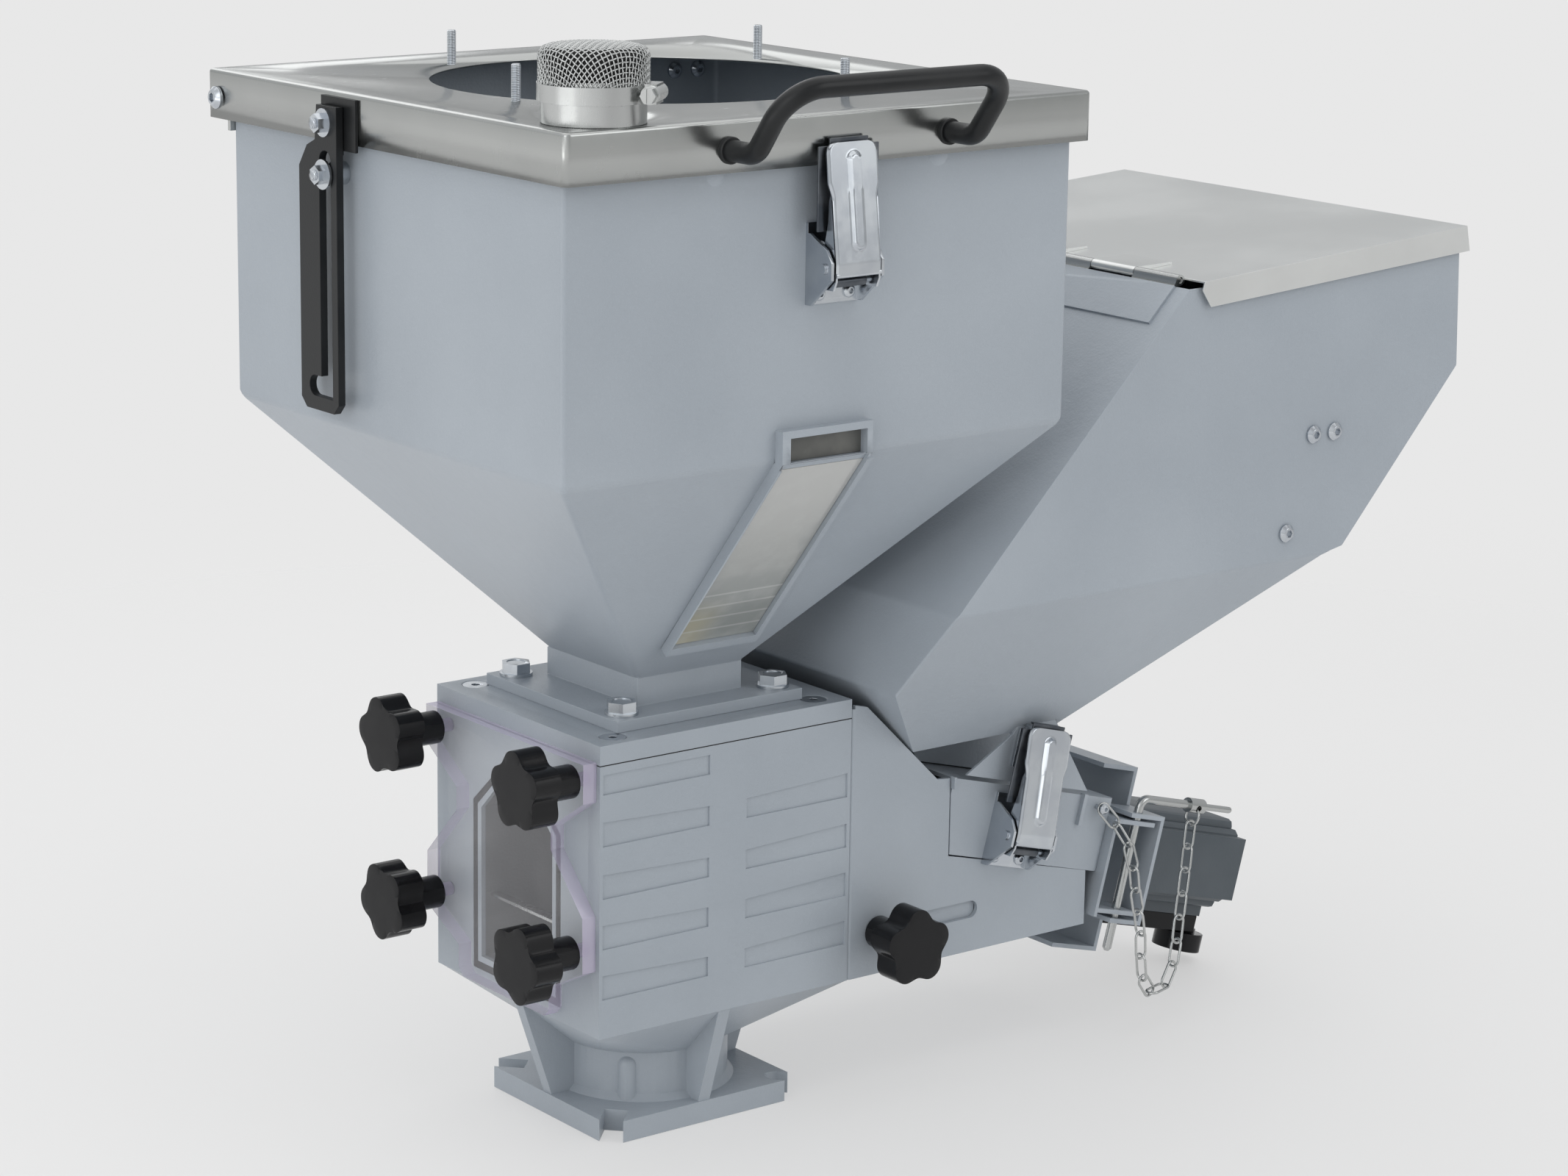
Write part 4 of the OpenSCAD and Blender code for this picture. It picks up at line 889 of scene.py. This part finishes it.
def leverHalf(z):
    # half width of the lever plate at height z
    look = latchLook
    low, high = look["neck"]
    half = look["body"] + (look["head"] - look["body"]) * ease((z - low) / (high - low))
    over = z - (look["tip"] - look["round"])
    if over > 0:
        half -= look["round"] - math.sqrt(max(0, look["round"] ** 2 - over ** 2))
    under = look["foot"] + look["footRound"] - z
    if under > 0:
        half -= look["footRound"] - math.sqrt(max(0, look["footRound"] ** 2 - under ** 2))
    return half


def leverFace(z):
    # outward place of the lever's front at height z
    return latchLook["front"] + max(0, z - latchLook["kink"]) * latchLook["lean"]


def latchLever(latch):
    look = latchLook
    form = bmesh.new()
    across, tall = look["grid"]
    skins = []
    for back in (0, look["plate"]):
        rows = []
        for i in range(tall + 1):
            z = look["foot"] + (look["tip"] - look["foot"]) * i / tall
            half = leverHalf(z)
            row = []
            for k in range(across + 1):
                share = 2 * k / across - 1
                x = half * (math.sin(share * math.pi / 2) * 0.35 + share * 0.65)
                away = math.hypot(x, max(0, look["rib"][0] - z, z - look["rib"][1]))
                rib = look["ribHeight"] * ease((look["ribWidth"] - away) / look["ribSlope"])
                lip = look["lip"] * ease((abs(x) - half + look["lipWidth"]) / look["lipWidth"])
                y = leverFace(z) - rib + lip * (0.4 if back else 1) + back
                row.append(form.verts.new(Vector((x, y, z)) * mm))
            rows.append(row)
        for near, far in zip(rows, rows[1:]):
            for k in range(across):
                face = (near[k], near[k + 1], far[k + 1], far[k])
                form.faces.new(face[::-1] if back else face)
        skins.append(rows[0] + [row[-1] for row in rows[1:]] + rows[-1][-2::-1]
                     + [row[0] for row in rows[-2:0:-1]])
    wrap(form, skins[1], skins[0])
    for side in (-1, 1):
        outer, inner = [[form.verts.new(Vector((side * x, y, z)) * mm) for y, z in look["cheek"]]
                        for x in (look["body"], look["body"] - look["cheekSheet"])]
        form.faces.new(outer[::-1])
        form.faces.new(inner)
        wrap(form, outer, inner)
    for y, z, r in look["pins"]:
        ends = [Vector((x, y, z)) * mm for x in (-look["pinHalf"], look["pinHalf"])]
        sweep(form, ends, r * mm, 20)
    form.transform(latchPlaces[latch])
    node = latch + "_latch_lever"
    pieceFrom(form, node + "_pressed", node, sharp=38)


clawLook = {"deep": (0.085, 0.095, 0.11), "pale": (0.14, 0.15, 0.165), "shine": 0.3}


def darkZinc():
    # the claw is coloured darker than the lever
    plate = Finish("darkZinc")
    place = plate.place()
    cloud = plate.between(plate.noise(place, 80, 3), 0.35, 0.65)
    return plate.done({
        "Base Color": plate.blend(cloud, clawLook["deep"], clawLook["pale"]),
        "Metallic": 0.9,
        "Roughness": clawLook["shine"] + cloud * 0.12,
        "Normal": plate.relief(plate.noise(place, 2200, 2), 0.08, 0.0002),
    })


clawFinish = darkZinc()
for latch in ("lid", "feeder"):
    latchLever(latch)
    roundOver(latch + "_latch_claw", 0.5, finish=clawFinish)
print("latches pressed")

seamLook = {"x": 96.56, "y": 89.06, "z": (252.25, 252.95)}


def plateSeam():
    # dark line under the top plate
    look = seamLook
    form = bmesh.new()
    low, high = [[form.verts.new(Vector((sx * look["x"], sy * look["y"], z)) * mm)
                  for sx, sy in ((-1, -1), (1, -1), (1, 1), (-1, 1))] for z in look["z"]]
    wrap(form, low, high)
    pieceFrom(form, "plate_seam", "top_plate", replaced=False, slot="black_rubber")


shadeLook = {"x": (-30, 27), "y": (-177.7, -177.2), "z": (446.3, 460.7), "corner": 1,
             "deep": (0.10, 0.102, 0.095), "pale": (0.14, 0.14, 0.13), "shine": 0.45}
slotLook = {"x": (106, 204), "y": (-85.6, -84.2), "z": (93, 124), "corner": 3}


def plateOutline(look, steps):
    (x0, x1), (z0, z1) = look["x"], look["z"]
    corners = [(x0, 0, z0), (x1, 0, z0), (x1, 0, z1), (x0, 0, z1)]
    return rounded(corners, [look["corner"]] * 4, steps)


def windowShade():
    # painted shade: a dark plate at the back of the pocket above the pane, where shade falls
    look = shadeLook
    form = slab(plateOutline(look, 4), look["y"])
    shade = Finish("pocketShade")
    grain = shade.noise(shade.place(), 900, 3)
    cloud = shade.between(shade.noise(shade.place(), 60, 3), 0.35, 0.7)
    pocketShadeFinish = shade.done({
        "Base Color": shade.blend(cloud, look["deep"], look["pale"]),
        "Roughness": look["shine"] + cloud * 0.15,
        "Normal": shade.relief(grain, 0.2, 0.0003),
    })
    pieceFrom(form, "window_shade", "window_frame", replaced=False, finish=pocketShadeFinish,
              slot="black_rubber")


def slotPlate():
    # long slider plate seen through the console slot
    form = slab(plateOutline(slotLook, 5), slotLook["y"])
    pieceFrom(form, "slot_plate", "clamp_slide", replaced=False, slot="grey_paint")


plateSeam()
windowShade()
slotPlate()

# heights and lengths in metres that pick the folds of the sheet bins
hopperBends = {"shortest": 0.05, "foot": 0.2915, "top": 0.644, "steep": 0.3, "bend": 0.447,
               "near": 0.003, "bendLength": 0.2}
sideBends = {"shortest": 0.04, "foot": 0.2225, "top": 0.514}


def hopperFolds(edge):
    pick = hopperBends
    a, b = (v.co for v in edge.verts)
    run = b - a
    low, high = sorted((a.z, b.z))
    if run.length < pick["shortest"] or high < pick["foot"] or low > pick["top"]:
        return False
    if abs(run.z) > pick["steep"] * run.length:
        return True
    level = max(abs(low - pick["bend"]), abs(high - pick["bend"])) < pick["near"]
    return level and run.length > pick["bendLength"]


def sideFolds(edge):
    pick = sideBends
    a, b = (v.co for v in edge.verts)
    low, high = sorted((a.z, b.z))
    return (b - a).length > pick["shortest"] and low > pick["foot"] and high < pick["top"]


edgeWidths = {
    "mixer_housing": 1.3, "top_plate": 0.9, "top_plate_screws": 0.3, "clear_cover": 0.7,
    "cover_gasket": 0.4, "chamber_guide": 0.4, "hopper_bolts": 0.5, "window_frame": 0.8,
    "hinge_ears": 0.4, "ear_screws": 0.3, "lid_pivots": 0.3, "vent_spigot": 0.3, "vent_clamp": 0.4,
    "handle_screws": 0.3, "stay_bracket": 0.4, "stay_bolts": 0.35, "lid_stay": 0.5,
    "stay_guide_bolt": 0.35, "lid_latch_base": 0.3, "feeder_latch_base": 0.3,
    "feeder_console": 0.7, "console_screws": 0.3, "clamp_slide": 0.4, "feeder_housing": 0.7,
    "side_hopper_screws": 0.3, "latch_keeper": 0.3, "motor_bracket": 0.5, "motor_screws": 0.3,
    "motor": 1.2, "motor_terminal": 0.9, "lock_pin": 0.3, "chain_screw": 0.3,
    "window_glass": 0.3, "shaft_coupling": 0.4, "feed_bearing": 0.3,
}
sheetBins = {  # node: edge width, which edges are folds, fold width, finish
    "main_hopper": (0.45, hopperFolds, 3.0, None),
    "side_hopper": (0.35, sideFolds, 1.6, None),
    "side_lid": (0.25, sideFolds, 0.5, satinSheet),
}
leafTop = 0.5149  # the hinge leaf is painted below this height, its knuckles are bare
for node, width in edgeWidths.items():
    roundOver(node, width)
for node, (width, folds, foldWidth, finish) in sheetBins.items():
    roundOver(node, width, folds, foldWidth, finish)
for node in ("feed_tube", "feed_screw", "pin_ring", "side_hinge_leaf", "side_lid_leaf"):
    piece = pieceFrom(cadForm(node), node + "_finished", node, sharp=40,
                      finish=satinSheet if node == "side_lid_leaf" else None)
    if node == "side_hinge_leaf":
        piece.data.materials.append(finishes["grey_paint"])
        for face in piece.data.polygons:
            face.material_index = int(face.center.z < leafTop)
# the chain hangs between its screw on the feeder and the pin's ring
chainEnds = [[(low + high) / 2 for low, high in zip(*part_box(node))]
             for node in ("chain_screw", "pin_ring")]
pieceFrom(cadForm("chain"), "chain_finished", "chain", sharp=40, span=("stand", "pin", *chainEnds))
print("edges rounded")

stageLook = {
    "floor": (0.89, 0.89, 0.89), "shine": 0.42, "gloss": 0.25, "centre": (0.15, 0, -0.0003),
    "backdrop": 0.806, "glow": 0.74, "share": 0.62, "ambient": 0.70, "radius": 2.6,
    "fade": (0.38, 0.72), "aim": (0.1, 0, 0.35), "leftward": 0.4,
    # what shiny pieces mirror, from straight down to straight up
    "tent": ((0.0, (0.7, 0.7, 0.7)), (0.45, (0.7, 0.7, 0.7)), (0.5, (0.44, 0.45, 0.45)),
             (0.62, (0.55, 0.56, 0.57)), (0.78, (0.62, 0.63, 0.64)), (1.0, (0.26, 0.26, 0.26))),
}


def layFloor():
    look = stageLook
    form = bmesh.new()
    bmesh.ops.create_circle(form, cap_ends=True, segments=96, radius=look["radius"])
    mesh = bpy.data.meshes.new("studioFloor")
    form.to_mesh(mesh)
    form.free()
    floor = bpy.data.objects.new("studioFloor", mesh)
    floor.location = look["centre"]
    scene.collection.objects.link(floor)
    paper = Finish("studioPaper")
    spot = paper.make("ShaderNodeTexCoord", out="Object")
    reach = paper.make("ShaderNodeVectorMath", {"operation": "LENGTH"}, {0: spot}, 1)
    fade = paper.between(reach, look["radius"] * look["fade"][0], look["radius"] * look["fade"][1])
    mottle = paper.noise(paper.place(), 30, 3)
    card = paper.make("ShaderNodeBsdfPrincipled", {}, {
        "Base Color": (*look["floor"], 1), "Roughness": look["shine"] + mottle * 0.08,
        "Specular IOR Level": look["gloss"]})
    clear = paper.make("ShaderNodeBsdfTransparent")
    # the camera, gloss and glass see a share of plain glow, so the shadow stays soft and pale
    seen, mirrored, through = paper.rays("Camera", "Glossy", "Transmission")
    glow = paper.make("ShaderNodeEmission", {}, {"Color": (look["glow"],) * 3 + (1,)})
    lit = paper.make("ShaderNodeMixShader", {}, {
        0: (seen + mirrored + through) * look["share"], 1: card, 2: glow})
    both = paper.make("ShaderNodeMixShader", {}, {0: fade, 1: lit, 2: clear})
    paper.make("ShaderNodeOutputMaterial", {}, {"Surface": both})
    mesh.materials.append(paper.material)


def lightWorld():
    look = stageLook
    air = Finish("studioAir", bpy.data.worlds)
    scene.world = air.material
    camera, mirrored, through = air.rays("Camera", "Glossy", "Transmission")
    way = air.make("ShaderNodeTexCoord", out="Generated")
    across, height = [air.make("ShaderNodeSeparateXYZ", {}, {0: way}, axis) for axis in (0, 2)]
    stops = [(place, (*tone, 1)) for place, tone in look["tent"]]
    tent = air.make("ShaderNodeValToRGB", {"stops": stops}, {0: height * 0.5 + 0.5})
    brighter = 1 + air.between(across, 0.1, -0.7) * look["leftward"]
    tent = air.make("ShaderNodeVectorMath", {"operation": "SCALE"}, {0: tent, "Scale": brighter})
    soft = air.blend(mirrored, (look["ambient"],) * 3, tent)
    tone = air.blend(air.larger(camera, through), soft, (look["backdrop"],) * 3)
    sky = air.make("ShaderNodeBackground", {}, {"Color": tone, "Strength": 1.0})
    air.make("ShaderNodeOutputWorld", {}, {"Surface": sky})


lampPlan = {
    "overhead": {"place": (0.1, 0.1, 2.6), "size": (3.3, 3.3), "power": 29},
    "leftFront": {"place": (-2.4, -1.2, 1.5), "size": (1.6, 1.8), "power": 11},
    "rightFront": {"place": (1.5, -2.6, 1.7), "size": (1.6, 1.8), "power": 12},
    "leftLow": {"place": (-1.5, -0.1, 0.3), "size": (0.9, 0.4), "power": 1.6},
    "behind": {"place": (0.6, 2.4, 1.8), "size": (1.8, 1.4), "power": 9},
}


def hangLamps():
    for name, plan in lampPlan.items():
        data = bpy.data.lights.new(name, "AREA")
        data.shape = "RECTANGLE"
        data.size, data.size_y = plan["size"]
        data.energy = plan["power"]
        lamp = bpy.data.objects.new(name, data)
        lamp.location = plan["place"]
        aim = Vector(stageLook["aim"]) - Vector(plan["place"])
        lamp.rotation_mode = "QUATERNION"
        lamp.rotation_quaternion = aim.to_track_quat("-Z", "Y")
        scene.collection.objects.link(lamp)


layFloor()
lightWorld()
hangLamps()
print("stage lit")
